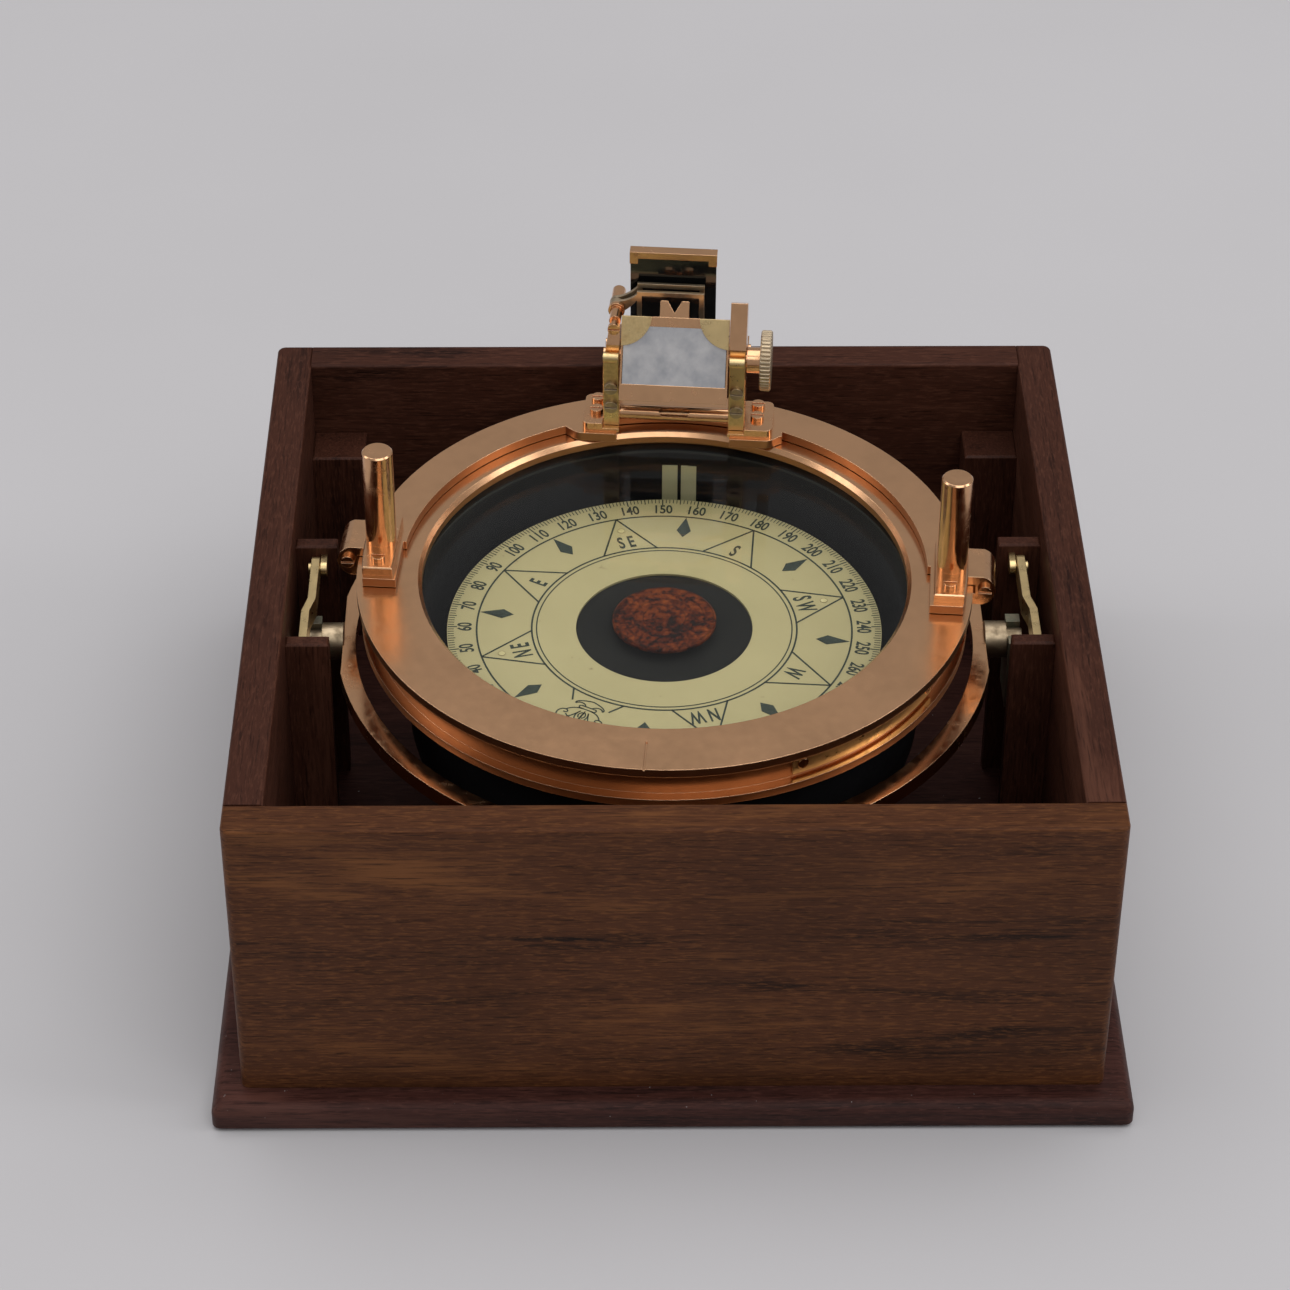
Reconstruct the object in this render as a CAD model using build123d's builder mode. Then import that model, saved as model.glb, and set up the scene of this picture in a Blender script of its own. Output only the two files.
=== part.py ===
"""Azimuth compass: a gimballed liquid compass with a prism sight, in its open wooden box.

Millimetres, +Z up, X to the right, Y away from the front board. The origin is the middle of the plinth's
underside.
"""
import os
from math import asin, cos, degrees, radians, sin, sqrt

from build123d import *

# Box
box_width = 290.0
box_depth = 278.2
wall_height = 113.7
side_wall = 13.1
end_wall = 13.2
plinth_height = 10.8
plinth_overhang = 9.7
plinth_round = 4.5
corner_round = 3.0
rim_round = 1.4

# Posts inside the box
corner_post_x = 19.5
corner_post_y = 17.5
corner_post_drop = 30.0
cheek_thickness = 5.4
cheek_width = 14.8
cheek_drop = 10.5
cheek_gap_front = 24.4
cheek_gap_rear = 26.6
board_chamfer = 0.7

# Gimbal
compass_x = -1.7
pivot_drop = 32.0
ring_space = 1.4
ring_width = 6.4
ring_flat_depth = 2.1
ring_height = 5.8
boss_radius = 6.5
boss_length = 7.5
trunnion_radius = 4.0
trunnion_length = 5.6
bearing_gap = 0.4
bearing_thickness = 5.0
bearing_width = 17.0
bearing_rise = 4.6
bearing_depth = 24.0
bearing_foot_height = 7.0
bearing_plate = 1.4
running_clearance = 0.05
bowl_pivot_radius = 2.5
bowl_pivot_head = 4.2
bowl_pivot_head_height = 1.8
pivot_pad_radius = 7.0
pivot_pad_sink = 3.0
pivot_pad_gap = 0.8
pivot_screw_sink = 2.0

# Latches: a strip on edge from its hinge ear at the rear cheek, bent outwards, to the front cheek
latch_thickness = 2.8
latch_height = 8.0
latch_drop = 12.6
latch_pin_radius = 1.2
latch_ear_depth = 4.6
latch_ear_width = 2.2
latch_ear_height = 5.4
latch_gap = 0.3
latch_rear_inset = 8.7
latch_jog = 1.8
latch_jog_start = -0.5
latch_jog_end = -7.5
latch_tip_gap = 0.4
latch_head_radius = 2.1
latch_head = 0.9

# Verge ring and bowl
verge_drop = 2.3
verge_overhang = 4.8
verge_bevel = 1.4
verge_flange = 3.2
collar_wall = 5.2
collar_height = 16.9
lower_flange_reach = 3.5
lower_flange = 3.0
glass_lap = 5.0
glass_cover = 6.8
glass_fit = 0.2
gasket_inset = 0.5
lubber_line_length = 14.5
lubber_line_width = 0.7
lubber_line_depth = 0.5
glass_thickness = 5.0
glass_drop = 3.9
gasket_thickness = 1.0
bowl_inner_radius = 86.0
bowl_wall = 5.0
bowl_flange_reach = 5.6
bowl_flange = 5.0
bowl_straight = 40.0
bowl_floor_radius = 46.0
bowl_floor_depth = 81.5
bowl_taper = 1.0
bowl_taper_height = 10.0
weight_inset = 0.5
weight_height = 20.0
weight_fit = 0.2
weight_chamfer = 1.5
plug_radius = 5.0
plug_key = 2.0
plug_head = 1.6
plug_rise = 8.0
plate_angle = -48.0
plate_span = 37.0
plate_height = 8.0
plate_thickness = 0.8
plate_screw_radius = 1.9
plate_screw_height = 0.7
plate_screw_inset = 2.0
balance_angle = 84.0
balance_height = 21.0
balance_thickness = 16.0
rim_screws = 8

# Card and its float
card_drop = 26.3
card_radius = 76.2
card_hole_radius = 31.0
card_thickness = 0.8
float_radius = 34.0
float_height = 12.0
cap_radius = 18.2
cap_rise = 4.0
cap_thickness = 1.6
point_radius = 0.6
column_radius = 4.0
column_foot_radius = 12.0
column_foot_height = 4.0
column_neck = 4.0
point_depth = 2.0
point_sink = 1.0
point_play = 0.05
cup_radius = 3.0
cup_wall = 1.2
cup_depth = 3.0
cup_top = 1.0
float_step = 3.0
float_taper = 8.0
float_well = 5.0
cap_neck = 4.0
cap_chamfer = 0.5
card_heading_yaw = 149.7
magnet_length = 48.0
magnet_radius = 2.5
magnet_spacing = 30.0
lubber_width = 5.6
lubber_gap = 1.3
lubber_height = 16.0
lubber_drop = 17.7
lubber_thickness = 0.8

# Azimuth circle
azimuth_yaw = -4.8
lubber_yaw = -4.4
circle_gap = 0.3
half_ring_start = 6.8
half_ring_inset = 2.2
half_ring_height = 3.3
half_ring_front = -16.3
half_ring_notch = 0.9
half_ring_notch_rear = 6.0
block_step = 1.3
block_front = -14.3
block_rear = 16.0
block_height = 3.2
block_chamfer = 0.4
post_radius = 5.3
post_rise = 41.6
post_inset = 5.5
post_y = 2.9
post_chamfer = 0.5
block_screw_inset = 6.0
block_screw_y = -9.0
lug_front = 1.0
lug_length = 16.5
lug_overhang = 7.7
lug_seat = 0.2
lug_drop = 10.3
lug_round = 4.0
lug_belly = 1.0
lug_gap = 0.8
lug_toe_gap = 0.4
lug_toe_inset = 2.2
lug_screw_inset = 3.6
lug_screw_drop = 5.4

# Sight
sight_shift = -2.6
land_inner = 20.5
land_outer = 34.8
land_front = 77.0
land_ramp = 4.6
land_ramp_rise = 3.8
land_rear_inset = 2.0
land_round = 5.0
pad_inner = 25.7
pad_outer_left = 33.0
pad_outer_right = 35.8
pad_front = 78.3
pad_rear = 97.2
pad_height = 3.5
pad_round = 2.4
foot_screw_left = 28.4
foot_screw_right = 30.1
foot_screw_front = 86.2
foot_screw_rear = 93.6
cheek_in = 19.7
cheek_front = 82.0
cheek_back = 95.5
lean = 30.0
face_y = 82.5
face_rise = 32.2
arm_start = 3.3
arm_in_front = 3.2
arm_end_right = 20.4
arm_end_left = 11.0
arm_depth = 8.0
arm_heel = 4.0
arm_taper = 2.2
arm_taper_start = 27.5
tilt_shaft_radius = 2.5
tilt_axis_depth = 4.2
strap_width = 5.4
strap_thickness = 1.4
strap_roll_radius = 1.9
strap_bottom = 3.0
strap_rise = 2.4
strap_gap = 0.2
strap_screw_low = 11.5
strap_screw_high = 19.5
level_radius = 2.75
level_y = 86.0
level_rise = 5.4
level_window = 11.0
level_vial_length = 26.0
vial_radius = 2.0
ear_rear = 108.0
ear_bottom = 18.0
ear_height = 8.0
mirror_axis_y = 105.0
mirror_axis_rise = 22.6
mirror_pin_radius = 1.5
mirror_center = -2.0
mirror_width = 31.4
mirror_top = 62.9
mirror_bar = 2.6
mirror_bar_depth = 4.2
mirror_leaf = 2.2
mirror_leaf_inset = 0.25
mirror_corner = 3.0
mirror_corner_height = 2.2
mirror_start = 4.0
mirror_eye_radius = 2.6
mirror_neck = 2.4
mirror_neck_sink = 1.0
mirror_pin_reach = 0.8

# Prism and its carrier
prism_width = 37.0
prism_low = -10.3
prism_high = 10.65
carrier_low = -16.3
carrier_high = 14.2
carrier_side = 0.7
carrier_gap = 0.3
carrier_plate = 1.5
carrier_bar = 2.6
clip_size = 10.8
clip_thickness = 0.7
carrier_ridge = 1.5
carrier_back = 1.0
carrier_mark_width = 1.6
carrier_mark_height = 1.4
clip_bow = 1.05
notch_center = -0.6
notch_width = 10.4
notch_height = 5.9
notch_depth = 4.3
notch_top = 2.6
notch_thickness = 1.3
notch_round = 0.5
knob_radius = 10.9
knob_thickness = 4.0
knob_boss_radius = 4.7
knob_boss_length = 4.8
knob_chamfer = 0.5
knob_teeth = 44
knob_tooth = 0.3

# Shades
shade_width = 24.2
shade_center_x = -2.6
shade_axis_x = -21.9
shade_axis_rise = 42.3
shade_hub_radius = 2.8
shade_pin_radius = 1.2
shade_frame = 1.8
shade_thickness = 1.2
shade_glass = 0.8
front_shade_y = 98.4
rear_shade_y = 101.2
front_shade_top = 49.5
rear_shade_top = 51.2
shade_bottom = 34.0
shade_arm_top = 1.2
shade_arm_sag = 2.6
shade_arm_width = 2.6
shade_boss_front = 89.0
shade_boss_rear = 97.5
shade_boss_radius = 2.1
shade_washer_radius = 3.0
shade_washer = 1.6
shade_pin_head = 2.2
shade_pin_head_y = 84.9
shade_nut_radius = 2.4
shade_nut_y = 105.9
shade_nut_rear = 109.2
shade_hub_gap = 0.3

# Screws
screw_head_radius = 2.4
screw_head_height = 1.6
screw_shank_radius = 1.2
screw_slot = 0.7
screw_slot_depth = 0.7
screw_length = 2.4

# Levels worked out from the sizes above
rim_z = plinth_height + wall_height
pivot_z = rim_z - pivot_drop
verge_z = rim_z - verge_drop
glass_z = verge_z - glass_drop
card_z = rim_z - card_drop
bowl_rim_z = glass_z - glass_thickness - gasket_thickness
bowl_wall_radius = bowl_inner_radius + bowl_wall
glass_radius = bowl_inner_radius + glass_lap
glass_opening_radius = glass_radius - glass_cover
bowl_flange_radius = glass_radius + glass_fit + bowl_flange_reach
collar_radius = bowl_flange_radius + collar_wall
lower_flange_radius = collar_radius + lower_flange_reach
verge_radius = collar_radius + verge_overhang
ring_inner_radius = verge_radius + ring_space
ring_outer_radius = ring_inner_radius + ring_width
ring_flat = ring_outer_radius - ring_flat_depth
half_ring_inner_radius = glass_opening_radius + half_ring_start
half_ring_outer_radius = verge_radius - half_ring_inset
circle_z = verge_z + circle_gap
half_ring_z = circle_z + half_ring_height
pad_z = half_ring_z + pad_height
block_z = half_ring_z + block_height
inner_half_width = box_width / 2 - side_wall
inner_half_depth = box_depth / 2 - end_wall

# Directions of the azimuth circle, which rests turned by its yaw
across = Vector(cos(radians(azimuth_yaw)), sin(radians(azimuth_yaw)), 0)
away = Vector(-sin(radians(azimuth_yaw)), cos(radians(azimuth_yaw)), 0)
up = Vector(0, 0, 1)
slope_up = away * sin(radians(lean)) + up * cos(radians(lean))
slope_back = away * cos(radians(lean)) - up * sin(radians(lean))
axis_point = Vector(compass_x, 0, 0)


def circle_point(x, y, z):
    """A point given in the azimuth circle's own directions."""
    return axis_point + across * x + away * y + up * z


def circle_plane(z):
    """A level plane with the azimuth circle's directions."""
    return Plane(origin=circle_point(0, 0, z), x_dir=across, z_dir=up)


def sight_point(x, y, z):
    """A point of the sight, which sits a little to the left on the circle."""
    return circle_point(x + sight_shift, y, z)


def side_plane(x):
    """A plane for side outlines of the sight, in y and z, that extrudes towards +x."""
    return Plane(origin=sight_point(x, 0, 0), x_dir=away, z_dir=across)


def front_plane(y):
    """A plane for front outlines of the sight, in x and z, that extrudes towards the front."""
    return Plane(origin=sight_point(0, y, 0), x_dir=across, z_dir=-away)


def sight_plane(z):
    """A level plane for the sight."""
    return Plane(origin=sight_point(0, 0, z), x_dir=across, z_dir=up)


face_point = sight_point(0, face_y, rim_z + face_rise)
tilt_axis_point = face_point + slope_back * tilt_axis_depth
tilt_axis_y = (tilt_axis_point - axis_point).dot(away)
tilt_axis_z = tilt_axis_point.Z


def slope_plane(depth):
    """A plane along the prism's face, its y up the slope, that extrudes towards the front."""
    return Plane(origin=face_point + slope_back * depth, x_dir=across, z_dir=-slope_back)


def slope_side(along, depth):
    """A point of the slope in the side plane's y and z."""
    point = face_point + slope_up * along + slope_back * depth
    return ((point - axis_point).dot(away), point.Z)


def screw(plane):
    """A cheese-head screw whose head sits on the plane and whose shank goes below it."""
    with BuildPart() as piece:
        with BuildSketch(plane):
            Circle(screw_head_radius)
        extrude(amount=screw_head_height)
        with BuildSketch(plane):
            Circle(screw_shank_radius)
        extrude(amount=-screw_length)
        with BuildSketch(plane.offset(screw_head_height)):
            Rectangle(2 * screw_head_radius, screw_slot)
        extrude(amount=-screw_slot_depth, mode=Mode.SUBTRACT)
    return piece.part


def screw_hole(plane):
    """The hole for a screw, made in the part being built."""
    with BuildSketch(plane) as hole:
        Circle(screw_shank_radius)
    extrude(hole.sketch, amount=-screw_length, mode=Mode.SUBTRACT)


def save(piece, name):
    """Write one piece, or a list of separate pieces, as a node."""
    if isinstance(piece, list):
        piece = Compound(children=piece)
    piece.label = name
    export_step(piece, f"parts/{name}.step")


os.makedirs("parts", exist_ok=True)

# Plinth
with BuildPart() as plinth:
    with BuildSketch():
        RectangleRounded(box_width + 2 * plinth_overhang, box_depth + 2 * plinth_overhang, corner_round)
    extrude(amount=plinth_height)
    fillet(plinth.faces().sort_by(Axis.Z)[-1].edges(), plinth_round)
    chamfer(plinth.faces().sort_by(Axis.Z)[0].edges(), rim_round)
save(plinth.part, "plinth")

# Walls: the front board runs the full width, and the side boards run on to the back edge
with BuildPart() as front_board:
    with BuildSketch(Plane.XY.offset(plinth_height)):
        with Locations((0, -box_depth / 2 + end_wall / 2)):
            Rectangle(box_width, end_wall)
    extrude(amount=wall_height)
    front_face = front_board.faces().sort_by(Axis.Y)[0]
    fillet(front_face.edges().filter_by(Axis.Z), corner_round)
    fillet(front_board.faces().sort_by(Axis.Z)[-1].edges().filter_by(Axis.X), rim_round)
save(front_board.part, "front_board")

with BuildPart() as back_board:
    with BuildSketch(Plane.XY.offset(plinth_height)):
        with Locations((0, box_depth / 2 - end_wall / 2)):
            Rectangle(2 * inner_half_width, end_wall)
    extrude(amount=wall_height)
    fillet(back_board.faces().sort_by(Axis.Z)[-1].edges().filter_by(Axis.X), rim_round)
save(back_board.part, "back_board")

# Bearing and cheek places at each side
side_left = -1
side_right = 1
bearing_face = ring_flat + boss_length + bearing_gap
bearing_bottom = pivot_z - bearing_depth
cheek_spots = (-(cheek_gap_front + cheek_thickness / 2), cheek_gap_rear + cheek_thickness / 2)
wall_screw_z = bearing_bottom + bearing_foot_height / 2
wall_screw_y = bearing_width / 3


def wall_screw_planes(side):
    """Planes of the screws that hold a bearing's wall plate, on the plate's inner face."""
    face_x = side * (inner_half_width - bearing_plate)
    return [
        Plane(origin=(face_x, y, wall_screw_z + bearing_foot_height), x_dir=(0, 1, 0), z_dir=(-side, 0, 0))
        for y in (-wall_screw_y, wall_screw_y)
    ]


for side, name in ((side_left, "left_board"), (side_right, "right_board")):
    with BuildPart() as board:
        with BuildSketch(Plane.XY.offset(plinth_height)):
            with Locations((side * (box_width / 2 - side_wall / 2), end_wall / 2)):
                Rectangle(side_wall, box_depth - end_wall)
        extrude(amount=wall_height)
        outer = board.faces().sort_by(Axis.X)[0 if side < 0 else -1]
        fillet(outer.edges().filter_by(Axis.Z).sort_by(Axis.Y)[-1], corner_round)
        fillet(board.faces().sort_by(Axis.Z)[-1].edges().filter_by(Axis.Y), rim_round)
        for plane in wall_screw_planes(side):
            screw_hole(plane)
    save(board.part, name)

# Corner posts in the four inner corners
corner_posts = []
for x_side in (-1, 1):
    for y_side in (-1, 1):
        with BuildPart() as post:
            with BuildSketch(Plane.XY.offset(plinth_height)):
                with Locations(
                    (
                        x_side * (inner_half_width - corner_post_x / 2),
                        y_side * (inner_half_depth - corner_post_y / 2),
                    )
                ):
                    Rectangle(corner_post_x, corner_post_y)
            extrude(amount=wall_height - corner_post_drop)
            chamfer(post.faces().sort_by(Axis.Z)[-1].edges(), board_chamfer)
        corner_posts.append(post.part)
save(corner_posts, "corner_posts")

# Places of the latches
latch_z = rim_z - latch_drop
latch_rear_x = inner_half_width - latch_rear_inset
latch_front_x = latch_rear_x + latch_jog
latch_tip = -(cheek_gap_front - latch_tip_gap)
latch_pin_y = cheek_gap_rear - latch_ear_depth
latch_pin_z = latch_z - latch_height / 2

# Cheek boards on each side of the bearing
cheek_boards = []
for side in (side_left, side_right):
    for y in cheek_spots:
        with BuildPart() as cheek_board:
            with BuildSketch(Plane.XY.offset(plinth_height)):
                with Locations((side * (inner_half_width - cheek_width / 2), y)):
                    Rectangle(cheek_width, cheek_thickness)
            extrude(amount=wall_height - cheek_drop)
            chamfer(cheek_board.faces().sort_by(Axis.Z)[-1].edges(), board_chamfer)
        cheek_boards.append(cheek_board.part)
save(cheek_boards, "cheek_boards")

# Gimbal bearings: a wall plate, a shelf and an upright with a slot open to the top
for side, name in ((side_left, "left_bearing"), (side_right, "right_bearing")):
    inner_x = compass_x + side * bearing_face
    wall_x = side * inner_half_width
    with BuildPart() as bearing:
        with BuildSketch(Plane(origin=(inner_x, 0, 0), x_dir=(0, side, 0), z_dir=(side, 0, 0))):
            with Locations((0, pivot_z + bearing_rise / 2 - bearing_depth / 2)):
                Rectangle(bearing_width, bearing_rise + bearing_depth)
            with Locations((0, pivot_z)):
                Circle(trunnion_radius + running_clearance, mode=Mode.SUBTRACT)
            with Locations((0, pivot_z + bearing_rise)):
                Rectangle(2 * (trunnion_radius + running_clearance), 2 * bearing_rise, mode=Mode.SUBTRACT)
        extrude(amount=bearing_thickness)
        with BuildSketch(Plane(origin=(inner_x, 0, 0), x_dir=(0, side, 0), z_dir=(side, 0, 0))):
            with Locations((0, bearing_bottom + bearing_foot_height / 2)):
                Rectangle(bearing_width, bearing_foot_height)
        extrude(amount=abs(wall_x - inner_x))
        with BuildSketch(
            Plane(origin=(wall_x - side * bearing_plate, 0, 0), x_dir=(0, side, 0), z_dir=(side, 0, 0))
        ):
            with Locations((0, bearing_bottom + bearing_foot_height)):
                Rectangle(bearing_width, 2 * bearing_foot_height)
        extrude(amount=bearing_plate)
        for plane in wall_screw_planes(side):
            screw_hole(plane)
    save(bearing.part, name)

case_screws = [screw(plane) for side in (side_left, side_right) for plane in wall_screw_planes(side)]
save(case_screws, "bearing_screws")

# Latches, their hinge ears and pins
hinge_ears = []
latch_pins = []
for side, name in ((side_left, "left_latch"), (side_right, "right_latch")):
    with BuildPart() as latch:
        with BuildSketch(Plane.XY.offset(latch_z)):
            with BuildLine():
                Polyline(
                    (side * latch_rear_x, latch_pin_y),
                    (side * latch_rear_x, latch_jog_start),
                    (side * latch_front_x, latch_jog_end),
                    (side * latch_front_x, latch_tip),
                    (side * (latch_front_x + latch_thickness), latch_tip),
                    (side * (latch_front_x + latch_thickness), latch_jog_end),
                    (side * (latch_rear_x + latch_thickness), latch_jog_start),
                    (side * (latch_rear_x + latch_thickness), latch_pin_y),
                    close=True,
                )
            make_face()
        extrude(amount=-latch_height)
        latch_side = Plane(
            origin=(side * latch_rear_x, latch_pin_y, latch_pin_z), x_dir=(0, side, 0), z_dir=(side, 0, 0)
        )
        with BuildSketch(latch_side):
            Circle(latch_height / 2)
        extrude(amount=latch_thickness)
        with BuildSketch(latch_side):
            Circle(latch_pin_radius + running_clearance)
        extrude(amount=latch_thickness, mode=Mode.SUBTRACT)
    save(latch.part, name)
    ear_x = latch_rear_x - latch_gap - latch_ear_width
    ear_plane = Plane(origin=(side * ear_x, cheek_gap_rear, latch_pin_z), x_dir=(0, side, 0), z_dir=(side, 0, 0))
    with BuildPart() as ear:
        with BuildSketch(ear_plane):
            with Locations((-side * latch_ear_depth / 2, 0)):
                Rectangle(latch_ear_depth, latch_ear_height)
            with Locations((-side * latch_ear_depth, 0)):
                Circle(latch_ear_height / 2)
                Circle(latch_pin_radius, mode=Mode.SUBTRACT)
        extrude(amount=latch_ear_width)
    hinge_ears.append(ear.part)
    with BuildPart() as pin:
        with BuildSketch(Plane(origin=(side * ear_x, latch_pin_y, latch_pin_z), z_dir=(side, 0, 0))):
            Circle(latch_pin_radius)
        pin_length = latch_ear_width + latch_gap + latch_thickness + latch_gap
        extrude(amount=pin_length)
        with BuildSketch(
            Plane(origin=(side * (ear_x + pin_length), latch_pin_y, latch_pin_z), z_dir=(side, 0, 0))
        ):
            Circle(latch_head_radius)
        extrude(amount=latch_head)
    latch_pins.append(pin.part)
save(hinge_ears, "latch_ears")
save(latch_pins, "latch_pins")

# Gimbal ring with holes for its trunnions and for the bowl's pivot screws
with BuildPart() as gimbal_ring:
    with BuildSketch(Plane(origin=(compass_x, 0, pivot_z - ring_height / 2))):
        Circle(ring_outer_radius)
        Rectangle(2 * ring_flat, 2 * ring_outer_radius, mode=Mode.INTERSECT)
        Circle(ring_inner_radius, mode=Mode.SUBTRACT)
    extrude(amount=ring_height)
    with BuildSketch(Plane(origin=(compass_x, -2 * ring_outer_radius, pivot_z), x_dir=(1, 0, 0), z_dir=(0, 1, 0))):
        Circle(bowl_pivot_radius + running_clearance)
    extrude(amount=4 * ring_outer_radius, mode=Mode.SUBTRACT)
save(gimbal_ring.part, "gimbal_ring")

# Trunnions: a boss seated on the ring's flat and a pin in the bearing's slot
trunnions = []
for side in (side_left, side_right):
    with BuildPart() as trunnion:
        with BuildSketch(
            Plane(origin=(compass_x + side * ring_flat, 0, pivot_z), x_dir=(0, 1, 0), z_dir=(side, 0, 0))
        ):
            Circle(boss_radius)
        extrude(amount=boss_length)
        with BuildSketch(
            Plane(
                origin=(compass_x + side * (ring_flat + boss_length), 0, pivot_z),
                x_dir=(0, 1, 0),
                z_dir=(side, 0, 0),
            )
        ):
            Circle(trunnion_radius)
        extrude(amount=trunnion_length)
    trunnions.append(trunnion.part)
save(trunnions, "trunnions")

# Bowl shell: a flange at the top, straight walls, and a rounded bottom
bowl_flange_z = bowl_rim_z - bowl_flange
straight_z = bowl_rim_z - bowl_straight
floor_z = bowl_rim_z - bowl_floor_depth
floor_outer_z = floor_z - bowl_wall
taper_end = (bowl_wall_radius - bowl_taper, straight_z - bowl_taper_height)
with BuildPart() as bowl_shell:
    with BuildSketch(Plane(origin=(compass_x, 0, 0), x_dir=(1, 0, 0), z_dir=(0, -1, 0))):
        with BuildLine():
            Line((0, floor_outer_z), (bowl_floor_radius, floor_outer_z))
            TangentArc((bowl_floor_radius, floor_outer_z), taper_end, tangent=(1, 0))
            Line(taper_end, (bowl_wall_radius, straight_z))
            Polyline(
                (bowl_wall_radius, straight_z),
                (bowl_wall_radius, bowl_flange_z),
                (bowl_flange_radius, bowl_flange_z),
                (bowl_flange_radius, bowl_rim_z),
                (bowl_inner_radius, bowl_rim_z),
                (bowl_inner_radius, straight_z),
            )
            TangentArc(
                (bowl_inner_radius, straight_z), (bowl_floor_radius, floor_z), tangent=(0, -1)
            )
            Polyline((bowl_floor_radius, floor_z), (0, floor_z), (0, floor_outer_z))
        make_face()
    revolve(axis=Axis((compass_x, 0, 0), (0, 0, 1)))
    # Bosses that carry the pivot screws out to the gimbal ring
    for y_side in (-1, 1):
        with BuildSketch(
            Plane(
                origin=(compass_x, y_side * (bowl_wall_radius - pivot_pad_sink), pivot_z),
                x_dir=(1, 0, 0),
                z_dir=(0, y_side, 0),
            )
        ):
            Circle(pivot_pad_radius)
        extrude(amount=ring_inner_radius - bowl_wall_radius + pivot_pad_sink - pivot_pad_gap)
        with BuildSketch(
            Plane(
                origin=(compass_x, y_side * (bowl_wall_radius - pivot_screw_sink), pivot_z),
                x_dir=(1, 0, 0),
                z_dir=(0, y_side, 0),
            )
        ):
            Circle(bowl_pivot_radius)
        extrude(amount=ring_inner_radius, mode=Mode.SUBTRACT)
save(bowl_shell.part, "bowl_shell")

# Pivot screws: they sit fast in the bowl's bosses and turn in the gimbal ring
bowl_pivots = []
for y_side in (-1, 1):
    with BuildPart() as pivot:
        with BuildSketch(
            Plane(
                origin=(compass_x, y_side * (bowl_wall_radius - pivot_screw_sink), pivot_z),
                x_dir=(1, 0, 0),
                z_dir=(0, y_side, 0),
            )
        ):
            Circle(bowl_pivot_radius)
        extrude(amount=ring_outer_radius + bearing_gap - bowl_wall_radius + pivot_screw_sink)
        head_plane = Plane(
            origin=(compass_x, y_side * (ring_outer_radius + bearing_gap), pivot_z),
            x_dir=(1, 0, 0),
            z_dir=(0, y_side, 0),
        )
        with BuildSketch(head_plane):
            Circle(bowl_pivot_head)
        extrude(amount=bowl_pivot_head_height)
        with BuildSketch(head_plane.offset(bowl_pivot_head_height)):
            Rectangle(2 * bowl_pivot_head, screw_slot)
        extrude(amount=-screw_slot_depth, mode=Mode.SUBTRACT)
    bowl_pivots.append(pivot.part)
save(bowl_pivots, "bowl_pivot_screws")

# Verge ring: polished top, collar with a groove, and a lower flange
collar_bottom = verge_z - collar_height
with BuildPart() as verge_ring:
    with BuildSketch(Plane(origin=(compass_x, 0, 0), x_dir=(1, 0, 0), z_dir=(0, -1, 0))):
        with BuildLine():
            Polyline(
                (glass_opening_radius, glass_z),
                (glass_opening_radius, verge_z - verge_bevel),
                (glass_opening_radius + verge_bevel, verge_z),
                (verge_radius, verge_z),
                (verge_radius, verge_z - verge_flange),
                (collar_radius, verge_z - verge_flange),
                (collar_radius, collar_bottom + lower_flange),
                (lower_flange_radius, collar_bottom + lower_flange),
                (lower_flange_radius, collar_bottom),
                (bowl_flange_radius, collar_bottom),
                (bowl_flange_radius, bowl_rim_z),
                (glass_radius + glass_fit, bowl_rim_z),
                (glass_radius + glass_fit, glass_z),
                close=True,
            )
        make_face()
    revolve(axis=Axis((compass_x, 0, 0), (0, 0, 1)))
    # The lubber line is cut in the verge at the front
    line_plane = Plane(
        origin=(compass_x, 0, verge_z),
        x_dir=(cos(radians(lubber_yaw)), sin(radians(lubber_yaw)), 0),
        z_dir=(0, 0, 1),
    )
    with BuildSketch(line_plane):
        with Locations((0, lubber_line_length / 2 - verge_radius)):
            Rectangle(lubber_line_width, lubber_line_length)
    extrude(amount=-lubber_line_depth, mode=Mode.SUBTRACT)
save(verge_ring.part, "verge_ring")

with BuildPart() as glass:
    with BuildSketch(Plane(origin=(compass_x, 0, glass_z - glass_thickness))):
        Circle(glass_radius)
    extrude(amount=glass_thickness)
save(glass.part, "cover_glass")

with BuildPart() as gasket:
    with BuildSketch(Plane(origin=(compass_x, 0, bowl_rim_z))):
        Circle(glass_radius - gasket_inset)
        Circle(bowl_inner_radius, mode=Mode.SUBTRACT)
    extrude(amount=gasket_thickness)
save(gasket.part, "glass_gasket")

# Screws up through the bowl's flange
flange_screws = []
flange_screw_radius = (bowl_flange_radius + bowl_wall_radius) / 2
for n in range(rim_screws):
    angle = radians((n + 0.5) * 360 / rim_screws)
    spot = (compass_x + flange_screw_radius * cos(angle), flange_screw_radius * sin(angle), bowl_flange_z)
    with BuildPart() as flange_screw:
        with BuildSketch(Plane(origin=spot, x_dir=(1, 0, 0), z_dir=(0, 0, -1))):
            Circle(screw_head_radius)
        extrude(amount=screw_head_height)
    flange_screws.append(flange_screw.part)
save(flange_screws, "flange_screws")

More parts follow.
